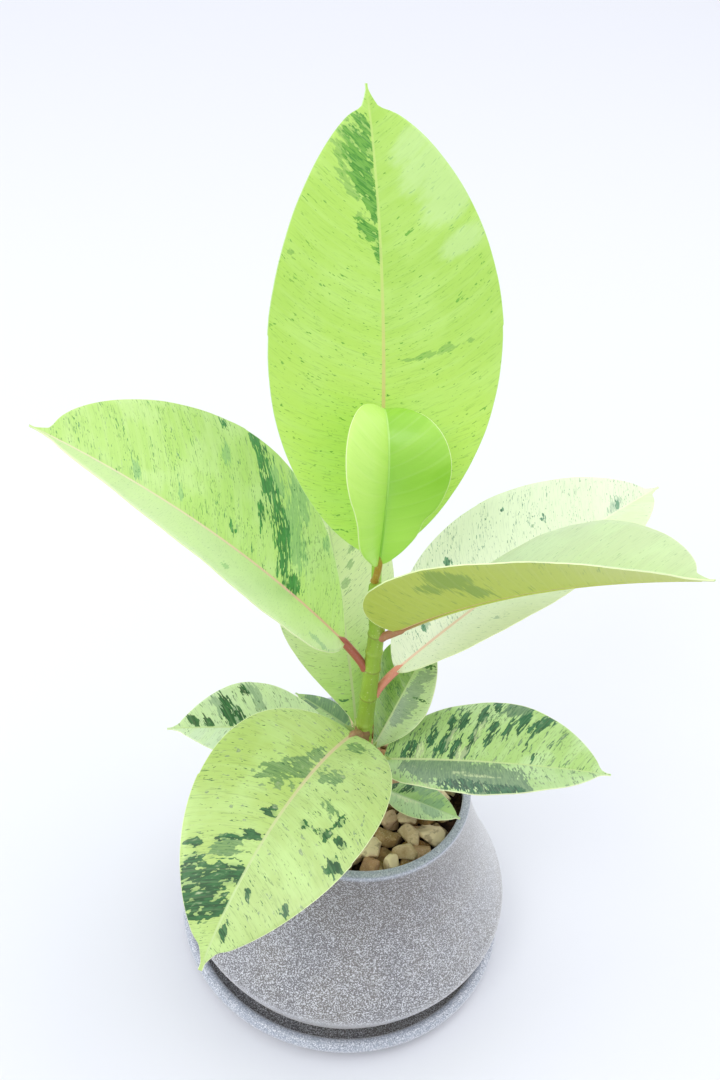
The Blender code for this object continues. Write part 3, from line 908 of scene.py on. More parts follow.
@dataclass(frozen=True)
class Pot:
    """The flaring pot: rounded rim, low belly, foot ring and a drain hole.

    Its rim height and belly radius come from the frame. sheen_depths is where the rim's bluish,
    lighter tint, a painted sheen, fades out and in, below the rim.
    """

    rim_radius: float = 52.2
    neck_guide: Point = (54.0, 87.0)
    flank_guide: Point = (64.7, 61.0)
    shoulder: Point = (75.9, 39.5)
    shoulder_guide: Point = (77.7, 36.6)
    belly_height: float = 33.0
    skirt_height: float = 29.0
    skirt_guide: Point = (69.5, 12.0)
    foot_radius: float = 65.0
    wall: float = 3.8
    floor: float = 5.0
    foot_ring: float = 5.0
    foot_recess: float = 1.5
    hollow_foot_radius: float = 60.5
    hollow_side: Point = (69.0, 20.0)
    drain_radius: float = 6.5
    rim_edge: float = 0.8
    rim_slope: float = 0.5
    # Where the painted sheen on the rim fades in.
    sheen_depths: Point = (3.5, 1.5)
    crease: float = 50.0
    segments: int = 176

    def side(self, inset: float, steps: int) -> list[Point]:
        """Draws the pot's side from its rim to its shoulder.

        Args:
            inset: How far inwards the side is moved.
            steps: How many stretches it has.

        Returns:
            Points as radius and height.
        """
        rim = (self.rim_radius, extent("pot")[1].z - self.wall / 2)
        guides = (rim, self.neck_guide, self.flank_guide, self.shoulder)
        return bezier([(radius - inset, height) for radius, height in guides], steps)

    def outside(self) -> list[Point]:
        """Draws the pot's outer face, from its rim to its foot ring.

        Returns:
            Points as radius and height.
        """
        low, high = extent("pot")
        belly = (high.x, self.belly_height)
        belly_guide = (high.x, (self.belly_height + self.shoulder_guide[1]) / 2)
        foot = (self.foot_radius, low.z)
        face = self.side(0.0, 34)
        face += bezier([face[-1], self.shoulder_guide, belly_guide, belly], 8)[1:]
        face += bezier([belly, (high.x, self.skirt_height), self.skirt_guide, foot], 16)[1:]
        return face

    def build(self, finish: bpy.types.Material) -> None:
        """Turns the pot and dresses it.

        Args:
            finish: The pot's material.
        """
        low, high = extent("pot")
        ring = self.foot_radius - self.foot_ring
        recess = low.z + self.foot_recess
        floor = low.z + self.floor
        outer = self.outside()
        under = [(ring, low.z), (ring - self.foot_recess, recess), (self.drain_radius, recess)]
        inside = [(self.drain_radius, floor), (self.hollow_foot_radius, floor)]
        inside += [self.hollow_side, (high.x - self.wall, self.belly_height)]
        inside += self.side(self.wall, 24)[::-1]
        edge = self.rim_edge
        inner_edge = (self.rim_radius - self.wall + edge, high.z - edge)
        outer_edge = (self.rim_radius - edge, high.z - edge - self.rim_slope)
        rim = arc(inner_edge, edge, 180, 95, 6) + arc(outer_edge, edge, 80, -20, 7)
        piece = turn_profile("pot_turned", outer + under + inside + rim + outer[:1], self.segments)
        fade, full = self.sheen_depths
        # edge marks the painted sheen on the rim.
        carry(piece, "edge", smooth(corners_of(piece)[:, 2], high.z - fade, high.z - full))
        shade_smooth(piece, self.crease)
        hand_over(piece, "pot", "stoneware", finish)


@dataclass(frozen=True)
class Soil:
    """Crumbly soil that fills the pot, with a hole for the stem.

    Its side stops side_end below the top. crumb_grain is the noise's roughness, its step from one
    size of crumb to the next, and how many sizes there are.
    """

    pot: Pot
    stem: "Stem"
    slack: float = 0.8
    hole: float = 4.4
    hole_gap: float = 0.3
    side_end: float = 2.0
    belly_inset: float = 1.0
    crumb: float = 1.1
    crumb_sink: float = 0.4
    crumb_grain: tuple[float, float, int] = (1.0, 2.2, 4)
    crumbs_per_mm: float = 0.28
    bare_edge: float = 0.5
    ring_step: float = 1.6
    segments: int = 120

    def build(self, finish: bpy.types.Material) -> None:
        """Turns the filling, roughens its top and dresses it.

        Args:
            finish: The soil's material.
        """
        low, high = extent("soil")
        wide = 2 * self.slack
        inset = self.pot.wall + self.slack
        side_radius, side_height = self.pot.hollow_side
        wall = [point for point in self.pot.side(inset, 16) if point[1] < high.z - self.side_end]
        rim = min(self.pot.side(inset, 60), key=lambda point: abs(point[1] - high.z))[0]
        rings = int((rim - self.hole) / self.ring_step)
        profile = [(0.0, low.z), (self.pot.hollow_foot_radius - wide, low.z)]
        profile.append((side_radius - wide, side_height + self.slack))
        profile.append((wall[-1][0] - self.belly_inset, self.pot.belly_height))
        profile += wall[::-1]
        profile += [(radius, high.z) for radius in np.linspace(rim, self.hole, rings)]
        hole_floor = self.stem.foot - self.hole_gap
        profile += [(self.hole, hole_floor), (0.0, hole_floor)]
        piece = turn_profile("soil_crumbly", profile, self.segments)
        places = corners_of(piece)
        inner, outer = self.hole + self.bare_edge, rim - self.bare_edge
        for place in places:
            if place[2] > high.z - 0.1 and inner < math.hypot(place[0], place[1]) < outer:
                lump = noise.fractal(Vector(place) * self.crumbs_per_mm, *self.crumb_grain)
                place[2] += self.crumb * (lump - self.crumb_sink)
        move_corners(piece, places)
        shade_smooth(piece)
        hand_over(piece, "soil", "soil", finish)


@dataclass(frozen=True)
class Pebbles:
    """Worn, blunt-cornered stones in two layers over the soil.

    Each layer starts on a sunflower spiral, and its stones then push each other apart until they
    lie side by side. skin is the size of a stone's facets, for a stone of radius 1. breadths, depths
    and heights are the least and most that a stone's size is multiplied by. The lower layer's stones
    are darker, as painted shade in the gaps between the upper ones.
    """

    kinds: int = 10
    upper_count: int = 80
    lower_count: int = 62
    inner: float = 9.0
    outer: float = 43.6
    wall: float = 48.2
    wall_room: float = 0.96
    stem_clearance: float = 4.4
    stem_room: float = 0.9
    small: float = 2.7
    large: float = 6.6
    likely: float = 5.0
    flatness: float = 0.74
    breadths: Point = (1.22, 1.48)
    depths: Point = (1.04, 1.26)
    heights: Point = (1.2, 1.6)
    upper_level: float = 97.2
    lower_level: float = 93.0
    level_play: float = 0.7
    tilt: float = 0.5
    lower_turn: float = 2.0
    # The lower layer's palest tone is raised: painted shade between the upper stones.
    lower_shaded_lightest: float = 0.6
    seed: int = 23
    cuts: int = 12
    cut_depths: Point = (0.48, 0.76)
    skin: float = 0.099
    wear: float = 0.3
    lumps: float = 0.10
    lump_scale: float = 1.9
    pushes: int = 60
    overlap: float = 0.94
    push: float = 0.35
    crease: float = 28.0

    def carve(self, index: int, rng: random.Random) -> bpy.types.Object:
        """Cuts flats off a ball and wears its corners blunt.

        Args:
            index: Which kind of stone this is.
            rng: The seeded choice of cuts.

        Returns:
            The stone, of radius 1.
        """
        add = bpy.ops.mesh.primitive_ico_sphere_add
        stone = start_piece(f"stone_{index}", add, subdivisions=3, radius=1.0)
        bpy.ops.object.mode_set(mode="EDIT")
        for _ in range(self.cuts):
            normal = Vector((rng.gauss(0, 1), rng.gauss(0, 1), rng.gauss(0, 1))).normalized()
            bpy.ops.mesh.select_all(action="SELECT")
            bpy.ops.mesh.bisect(plane_co=normal * rng.uniform(*self.cut_depths), plane_no=normal,
                                use_fill=True, clear_outer=True)
        bpy.ops.object.mode_set(mode="OBJECT")
        remesh = stone.modifiers.new("even_skin", "REMESH")
        remesh.mode = "VOXEL"
        remesh.voxel_size = self.skin
        wear = stone.modifiers.new("wear", "SMOOTH")
        wear.factor = self.wear
        wear.iterations = 1
        apply_modifiers(stone)
        for corner in stone.data.vertices:
            lump = noise.noise(corner.co * self.lump_scale + Vector((index * 5.0, 0.0, 0.0)))
            corner.co *= 1.0 + self.lumps * lump
        return stone

    def spread(self, count: int, turn: float, rng: random.Random) -> tuple[np.ndarray, np.ndarray]:
        """Finds room for one layer's stones.

        Args:
            count: How many stones the layer has.
            turn: Where the spiral starts, in radians.
            rng: The seeded choice of sizes.

        Returns:
            Their places in the layer, and half of their lengths.
        """
        index = np.arange(count)
        out = np.sqrt(lerp((self.inner ** 2, self.outer ** 2), (index + 0.5) / count))
        angle = index * GOLDEN_TURN + turn
        places = np.stack((out * np.cos(angle), out * np.sin(angle)), axis=-1)
        sizes = np.array([rng.triangular(self.small, self.large, self.likely) for _ in range(count)])
        for _ in range(self.pushes):
            away = places[:, None, :] - places[None, :, :]
            gap = np.linalg.norm(away, axis=2) + np.eye(count) * 1000.0
            lack = np.maximum(0.0, (sizes[:, None] + sizes[None, :]) * self.overlap - gap)
            places = places + (away / gap[:, :, None] * lack[:, :, None]).sum(axis=1) * self.push
            out = np.linalg.norm(places, axis=1)
            nearest = self.stem_clearance + sizes * self.stem_room
            room = np.clip(out, nearest, self.wall - sizes * self.wall_room)
            places = places * (room / out)[:, None]
        return places, sizes

    def lay(self, kinds: Sequence[bpy.types.Object], count: int, level: float, turn: float,
            lightest: float, rng: random.Random) -> list[bpy.types.Object]:
        """Copies stones to one layer.

        Args:
            kinds: The carved stones.
            count: How many stones the layer has.
            level: Height of their middles.
            turn: Where the spiral starts, in radians.
            lightest: The palest tone, from 0 for tan to 1 for brown; raised for the lower layer as
                painted shade.
            rng: The seeded choice of kinds and poses.

        Returns:
            The placed copies, each with its own mesh.
        """
        stones = []
        for index, (spot, size) in enumerate(zip(*self.spread(count, turn, rng))):
            scale = Vector((size * rng.uniform(*self.breadths), size * rng.uniform(*self.depths),
                            size * self.flatness * rng.uniform(*self.heights)))
            place = Vector((*spot, level + rng.uniform(-self.level_play, self.level_play)))
            stone = bpy.data.objects.new(f"stone_{turn:.0f}_{index}", rng.choice(kinds).data.copy())
            bpy.context.collection.objects.link(stone)
            pose = Matrix.Translation(place * MM) @ Matrix.Rotation(rng.uniform(0, math.tau), 4, "Z")
            pose = pose @ Matrix.Rotation(rng.uniform(-self.tilt, self.tilt), 4, "X")
            stone.data.transform(pose @ Matrix.Diagonal((*(scale * MM), 1.0)))
            # The tone is random, and darker on the lower layer as painted shade.
            carry(stone, "tone", rng.uniform(lightest, 1.0), rng.random(), rng.uniform(0.0, 9.0))
            stones.append(stone)
        return stones

    def build(self, finish: bpy.types.Material) -> None:
        """Carves the kinds, lays both layers and makes each one piece.

        Args:
            finish: The stones' material.
        """
        rng = random.Random(self.seed)
        kinds = [self.carve(index, rng) for index in range(self.kinds)]
        layers = {
            "pebbles_upper": self.lay(kinds, self.upper_count, self.upper_level, 0.0, 0.0, rng),
            # The lower layer is laid darker, as painted shade.
            "pebbles_lower": self.lay(kinds, self.lower_count, self.lower_level, self.lower_turn,
                                      self.lower_shaded_lightest, rng),
        }
        for kind in kinds:
            bpy.data.objects.remove(kind)
        for name, stones in layers.items():
            piece = stones[0]
            pick(piece)
            for stone in stones:
                stone.select_set(True)
            bpy.ops.object.join()
            piece.name = name
            piece.data.name = name
            shade_smooth(piece, self.crease)
            hand_over(piece, "pebbles", "stones", finish)


@dataclass(frozen=True)
class Stem:
    """The upright stem with its node rings, its top leaning slightly to the left.

    A ring is drawn ring_shift above its node. bare_nodes have lost their leaves, and show as
    faintly as bare_strength. The corky scar lies between the cork heights, on the front left as far
    round as cork_facing says, and fades within cork_fade at both ends.
    """

    radius: float = 3.9
    top_radius: float = 3.2
    foot: float = 62.0
    thick_until: float = 91.5
    bevel: float = 1.0
    lean_start: float = 200.0
    lean: float = 0.10
    node_rise: float = 0.35
    node_spread: float = 1.1
    ring_shift: float = 0.2
    ring_spread: float = 0.45
    bare_nodes: tuple[float, ...] = (116.0, 145.0, 188.0, 207.0)
    bare_strength: float = 0.45
    cork: Point = (134.5, 142.0)
    cork_fade: Point = (-1.5, 1.0)
    cork_facing: Point = (-0.5, 2.5)
    buried_step: float = 4.0
    bark_step: float = 0.45
    segments: int = 48

    def top(self) -> float:
        """Height of the stem's end, from the frame."""
        return extent("stem")[1].z

    def centre(self, height: float) -> np.ndarray:
        """The stem's middle at a height."""
        return np.array((-self.lean * max(0.0, height - self.lean_start), 0.0, height))

    def radius_at(self, height: float) -> float:
        """The stem's radius at a height, without its rings."""
        share = max(0.0, (height - self.thick_until) / (self.top() - self.thick_until))
        return lerp((self.radius, self.top_radius), share)

    def profile(self, nodes: np.ndarray) -> list[Point]:
        """Draws the stem's outline, upright.

        Args:
            nodes: Heights of all nodes.

        Returns:
            Points as radius and height.
        """
        end = self.top() - self.bevel
        heights = list(np.arange(self.foot, self.thick_until, self.buried_step))
        heights += list(np.arange(self.thick_until, end, self.bark_step))
        outline = [(0.0, self.foot)]
        for height in heights:
            ring = float(np.exp(-((height - nodes) / self.node_spread) ** 2).max())
            outline.append((self.radius_at(height) + self.node_rise * ring, height))
        outline += arc((self.top_radius - self.bevel, end), self.bevel, 0, 90, 5)
        outline.append((0.0, self.top()))
        return outline

    def build(self, leaf_nodes: Sequence[float], finish: bpy.types.Material) -> None:
        """Turns the stem, leans its top and dresses it.

        Args:
            leaf_nodes: Heights where the leaves' stalks begin.
            finish: The stem's material.
        """
        end = self.top() - self.bevel
        nodes = np.array(sorted([node for node in leaf_nodes if node < end] + list(self.bare_nodes)))
        piece = turn_profile("stem_ringed", self.profile(nodes), self.segments)
        places = corners_of(piece)
        height = places[:, 2]
        off = (height[:, None] - nodes[None, :] - self.ring_shift) / self.ring_spread
        strength = np.where(np.isin(nodes, self.bare_nodes), self.bare_strength, 1.0)
        ring = (np.exp(-off ** 2) * strength).max(axis=1) * (height < end)
        low, high = self.cork
        start, full = self.cork_fade
        facing = smooth(-places[:, 1] - 0.5 * places[:, 0], *self.cork_facing)
        rising = smooth(height, low + start, low + full)
        falling = smooth(-height, start - high, full - high)
        carry(piece, "bark", ring, rising * falling * facing)
        places[:, 0] -= self.lean * np.maximum(0.0, height - self.lean_start)
        move_corners(piece, places)
        shade_smooth(piece)
        hand_over(piece, "stem", "stem", finish)


@dataclass(frozen=True)
class FicusLeaf:
    """One leaf: a thin blade, and the stalk with the rib that carries on below it.

    node is the height where the stalk leaves the stem; reach and foot say how far out and how high
    the blade begins; rise is the midrib's slope, sweep its turn sideways and roll its lean; fold is
    how far each half stands up from flat, and curl how much of that it loses towards the margin.
    A pair holds the values at the foot and at the tip. A dent is its side (1 is the left), its place
    and spread as shares of the length, and how much narrower the half is there. vein_start is where
    the side veins stand out, in millimetres from the midrib, and margin_turn where the margin turns
    down, as shares of the half width. column_ends and row_ends say how even the grid stays: 1 is even.
    """

    name: str
    slot: str
    paint: LeafPaint
    node: float
    azimuth: float
    reach: float
    foot: float
    length: float
    half_width: float
    rise: Point
    sweep: float
    roll: Point
    fold: Point
    curl: float
    widest: float
    drip: float
    fullness: Point
    stalk: float
    dents: tuple[Patch, ...] = ()
    arch: float = 1.0
    thickness: float = 0.42
    wave: float = 0.18
    wave_length: float = 41.0
    vein_relief: float = 0.03
    vein_start: Point = (1.5, 6.0)
    margin_drop: float = 0.35
    margin_turn: Point = (0.93, 1.0)
    flat_foot: float = 0.05
    groove: float = 0.15
    groove_spread: float = 1.1
    rib_share: float = 0.48
    tip_half_width: float = 0.5
    neck_share: float = 0.44
    neck_spread: float = 1.3
    neck_power: float = 1.35
    stalk_fade: float = 0.3
    stalk_swell: float = 1.2
    stalk_dive: float = 5.5
    stalk_root: float = 0.6
    keel_share: float = 0.36
    keel_tip: float = 0.18
    keel_sink: float = 0.07
    keel_end: float = 0.97
    collar: float = 0.22
    collar_share: float = 0.12
    stalk_steps: int = 14
    dive_steps: int = 9
    keel_steps: int = 34
    midrib_steps: int = 240
    columns: int = 52
    rows_per_mm: float = 0.75
    least_rows: int = 30
    column_ends: float = 0.38
    row_ends: float = 0.6

    def seed(self) -> float:
        """A number of this leaf's own, from its place on the stem."""
        return self.node + self.azimuth / 7.0

    def axes(self, share: np.ndarray) -> tuple[np.ndarray, np.ndarray, np.ndarray]:
        """Directions along, across to the left, and up from the blade.

        Args:
            share: Places along the midrib, from 0 to 1.

        Returns:
            Three arrays of unit vectors.
        """
        rise = lerp(self.rise, share ** self.arch)
        azimuth = self.azimuth + self.sweep * share
        roll = np.radians(lerp(self.roll, share))[:, None]
        tangent = heading(rise, azimuth)
        level = heading(np.zeros_like(azimuth), azimuth + 90.0)
        upper = np.cross(tangent, level)
        side = level * np.cos(roll) + upper * np.sin(roll)
        return tangent, side, upper * np.cos(roll) - level * np.sin(roll)

    def blade_foot(self, stem: Stem) -> np.ndarray:
        """Finds where the stalk ends and the blade begins.

        Args:
            stem: The stem that carries the leaf.

        Returns:
            The place in millimetres.
        """
        place = stem.centre(self.node) + heading(0.0, self.azimuth) * self.reach
        place[2] = self.foot
        return place

    def midrib(self, share: np.ndarray, stem: Stem) -> np.ndarray:
        """Follows the midrib's slope and turn from the blade's foot.

        Args:
            share: Places along the midrib, from 0 to 1.
            stem: The stem that carries the leaf.

        Returns:
            Places in millimetres.
        """
        steps = (np.arange(self.midrib_steps) + 0.5) / self.midrib_steps
        strides = self.axes(steps)[0] * (self.length / self.midrib_steps)
        path = self.blade_foot(stem) + np.vstack((np.zeros(3), np.cumsum(strides, axis=0)))
        marks = np.linspace(0.0, 1.0, self.midrib_steps + 1)
        return np.stack([np.interp(share, marks, path[:, axis]) for axis in range(3)], axis=-1)

    def width_at(self, t: np.ndarray, share: np.ndarray) -> np.ndarray:
        """The width of one half of the blade: rounded, with a drawn-out drip tip.

        Args:
            t: Places across, from -1 to 1, of which only the side counts.
            share: Places along, from 0 to 1.

        Returns:
            Widths in millimetres.
        """
        body = 1.0 - self.drip / self.length
        power = math.log(0.5) / math.log(self.widest)
        x = np.minimum(1.0, share / body)
        oval = np.maximum(0.0, np.sin(np.pi * x ** power)) ** lerp(self.fullness, x)
        to_tip = np.minimum(self.neck_spread, (1.0 - share) * self.length / self.drip)
        neck = self.neck_share * self.drip * to_tip ** self.neck_power * (share > 0.5)
        root = self.stalk * np.maximum(0.0, 1.0 - share / self.stalk_fade)
        width = np.sqrt((self.half_width * oval) ** 2 + neck ** 2 + root ** 2)
        for side, place, spread, depth in self.dents:
            width = width * (1.0 - depth * np.exp(-((share - place) / spread) ** 2) * (t * side > 0.0))
        return np.maximum(self.tip_half_width, width)

    def relief(self, t: np.ndarray, share: np.ndarray, width: np.ndarray) -> np.ndarray:
        """Adds up the midrib's groove, gentle waves, side veins and the margin's turn downwards.

        Args:
            t: Places across, from -1 to 1.
            share: Places along, from 0 to 1.
            width: The blade's half width at each place.

        Returns:
            How far the upper face stands up, in millimetres.
        """
        across = np.abs(t) * width
        along = share * self.length
        groove = -self.groove * (1.0 - 0.7 * share) * np.exp(-(across / self.groove_spread) ** 2)
        phase = along / self.wave_length * math.tau + np.sign(t) * 1.3 + self.seed()
        ripple = np.sin(phase) + 0.5 * np.sin(2.3 * phase + 1.0)
        wavy = smooth(share, 0.0, 0.2) * smooth(-share, -1.0, -0.8)
        wave = self.wave * ripple * np.abs(t) ** 3 * wavy
        vein = along - self.paint.lean_at(share) * across
        quilt = self.vein_relief * np.cos(vein * math.tau / VEIN_SPACING)
        quilt *= smooth(across, *self.vein_start)
        turned = -self.margin_drop * smooth(np.abs(t), *self.margin_turn)
        return (groove + wave + quilt + turned) * smooth(share, 0.0, self.flat_foot)

    def upper_face(self, t: np.ndarray, share: np.ndarray, stem: Stem) -> np.ndarray:
        """Places on the blade's upper face.

        Args:
            t: Places across, from -1 at the right margin to 1 at the left.
            share: Places along, from 0 to 1.
            stem: The stem that carries the leaf.

        Returns:
            Places in millimetres.
        """
        side, upper = self.axes(share)[1:]
        width = self.width_at(t, share)
        fold = np.radians(lerp(self.fold, share))
        curl = math.radians(self.curl)
        slope = fold - curl * np.abs(t)
        across = (np.sin(fold) - np.sin(slope)) / curl
        lift = (np.cos(slope) - np.cos(fold)) / curl
        outward = side * np.where(t < 0.0, -1.0, 1.0)[:, None]
        normal = upper * np.cos(slope)[:, None] - outward * np.sin(slope)[:, None]
        place = (outward * across[:, None] + upper * lift[:, None]) * width[:, None]
        return self.midrib(share, stem) + place + normal * self.relief(t, share, width)[:, None]

    def tones(self, across: np.ndarray, along: np.ndarray) -> list[np.ndarray]:
        """Reads the leaf's patches.

        Args:
            across: Places across the blade, in millimetres.
            along: Places along it.

        Returns:
            How dark, how dull and how pale each place is.
        """
        weights = []
        # The pale weights hold pale markings, and on leaf_top a painted sheen.
        for patches in (self.paint.dark, self.paint.dull, self.paint.pale):
            weight = np.zeros(len(across))
            for centre, place, reach, run in patches:
                lean = self.paint.lean_at(place / self.length)
                off = along - place - lean * (np.abs(across) - abs(centre))
                far = ((across - centre) / reach) ** 2 + (off / run) ** 2
                weight = np.maximum(weight, np.exp(-(far ** 1.5) * 0.5) * (across * centre >= 0.0))
            weights.append(weight)
        return weights

    def build_blade(self, stem: Stem) -> None:
        """Shapes a grid into the blade, gives it thickness and dresses it.

        Args:
            stem: The stem that carries the leaf.
        """
        rows = max(self.least_rows, int(self.length * self.rows_per_mm))
        grid = {"x_subdivisions": self.columns, "y_subdivisions": rows, "size": 1.0}
        piece = start_piece(f"{self.name}_blade", bpy.ops.mesh.primitive_grid_add, **grid)
        start = corners_of(piece) * MM
        t = gather(-2.0 * start[:, 0], self.column_ends)
        share = (gather(2.0 * start[:, 1], self.row_ends) + 1.0) / 2.0
        width = self.width_at(t, share)
        across = t * width
        along = share * self.length
        carry(piece, "place", across, along, width * (1.0 - np.abs(t)))
        carry(piece, "tone", *self.tones(across, along))
        move_corners(piece, self.upper_face(t, share, stem))
        sizes = (self.length, self.rib_share * self.stalk, self.seed())
        skins = [BladeFinish(self.name, self.paint, *sizes, face).material() for face in Face]
        for skin in skins:
            piece.data.materials.append(skin)
        wall = piece.modifiers.new("thickness", "SOLIDIFY")
        wall.thickness = self.thickness * MM
        wall.offset = -1.0
        wall.material_offset = 1
        apply_modifiers(piece)
        shade_smooth(piece)
        faces = np.zeros(len(piece.data.polygons), np.int32)
        piece.data.polygons.foreach_get("material_index", faces)
        hand_over(piece, self.name, self.slot, *skins)
        piece.data.polygons.foreach_set("material_index", faces)

    def stalk_path(self, stem: Stem) -> np.ndarray:
        """Bends the stalk from the stem to the blade's foot.

        Args:
            stem: The stem that carries the leaf.

        Returns:
            Places along it in millimetres, without the foot itself.
        """
        foot = self.blade_foot(stem)
        tangent = self.axes(np.zeros(1))[0][0]
        out = heading(0.0, self.azimuth) * (stem.radius_at(self.node) - self.stalk_root)
        start = stem.centre(self.node) + out
        handle = foot - tangent * float(np.linalg.norm(foot - start)) * 0.5
        return np.array(bezier((start, handle, foot), self.stalk_steps))[:-1]

    def build_stalk(self, stem: Stem) -> None:
        """Draws the stalk from the stem into the blade's midrib, and dresses it.

        Args:
            stem: The stem that carries the leaf.
        """
        stalk = self.stalk_path(stem)
        dive = self.stalk_dive / self.length
        diving = np.linspace(0.0, dive, self.dive_steps)
        share = np.concatenate((diving, np.linspace(dive * 1.3, self.keel_end, self.keel_steps)))
        thick = self.stalk * self.stalk_swell
        thin = self.keel_share * self.stalk
        sunk = smooth(share, 0.0, dive)
        beyond = lerp((thin, self.keel_tip), (share - dive) / (1.0 - dive))
        rib = np.where(share <= dive, lerp((thick, thin), sunk), beyond)
        drop = sunk * (rib + self.groove + self.keel_sink)
        keel = self.midrib(share, stem) - self.axes(share)[2] * drop[:, None]
        way = np.linspace(0.0, 1.0, len(stalk)) / self.collar_share
        collar = 1.0 + self.collar * np.exp(-way ** 2)
        path = np.vstack((stalk, keel))
        piece = draw_tube(f"{self.name}_stalk", path, np.concatenate((thick * collar, rib)))
        strides = np.linalg.norm(np.diff(path, axis=0), axis=1)
        along = np.concatenate(([0.0], np.cumsum(strides)))
        along -= along[len(stalk)]
        away = np.linalg.norm(corners_of(piece)[:, None, :] - path[None, :, :], axis=2)
        carry(piece, "place", 0.0, along[np.argmin(away, axis=1)])
        shade_smooth(piece)
        finish = StalkFinish(self.name, self.paint, self.length).material()
        hand_over(piece, self.name, self.slot, finish)

    def build(self, stem: Stem) -> None:
        """Makes the leaf's blade and stalk."""
        self.build_blade(stem)
        self.build_stalk(stem)


def heading(rise: np.ndarray | float, azimuth: np.ndarray | float) -> np.ndarray:
    """Turns slopes and turns into directions.

    Args:
        rise: Slopes above level, in degrees.
        azimuth: Turns from the right, towards the back, in degrees.

    Returns:
        Unit vectors.
    """
    e = np.radians(rise)
    a = np.radians(azimuth)
    return np.stack((np.cos(e) * np.cos(a), np.cos(e) * np.sin(a), np.sin(e)), axis=-1)


def gather(value: np.ndarray, ends: float) -> np.ndarray:
    """Moves even places from -1 to 1 closer together at the middle and at both ends."""
    size = np.abs(value)
    return np.sign(value) * (ends * size + (1.0 - ends) * size * size * (3.0 - 2.0 * size))


LIME_RIB = ("#deb57c", "#c4e27c")
PINK_RIB = ("#e8b49c", "#e8e0ba")
PALE_RIB = ("#d3dfa8", "#c3da98")
CORAL = "#e0917a"
BRICK = "#a85a48"
DEEP_GREEN = "#1a4a28"
MOSS_GREEN = "#2f6c3a"
SAGE = "#a9c06a"
OLIVE = "#90aa58"

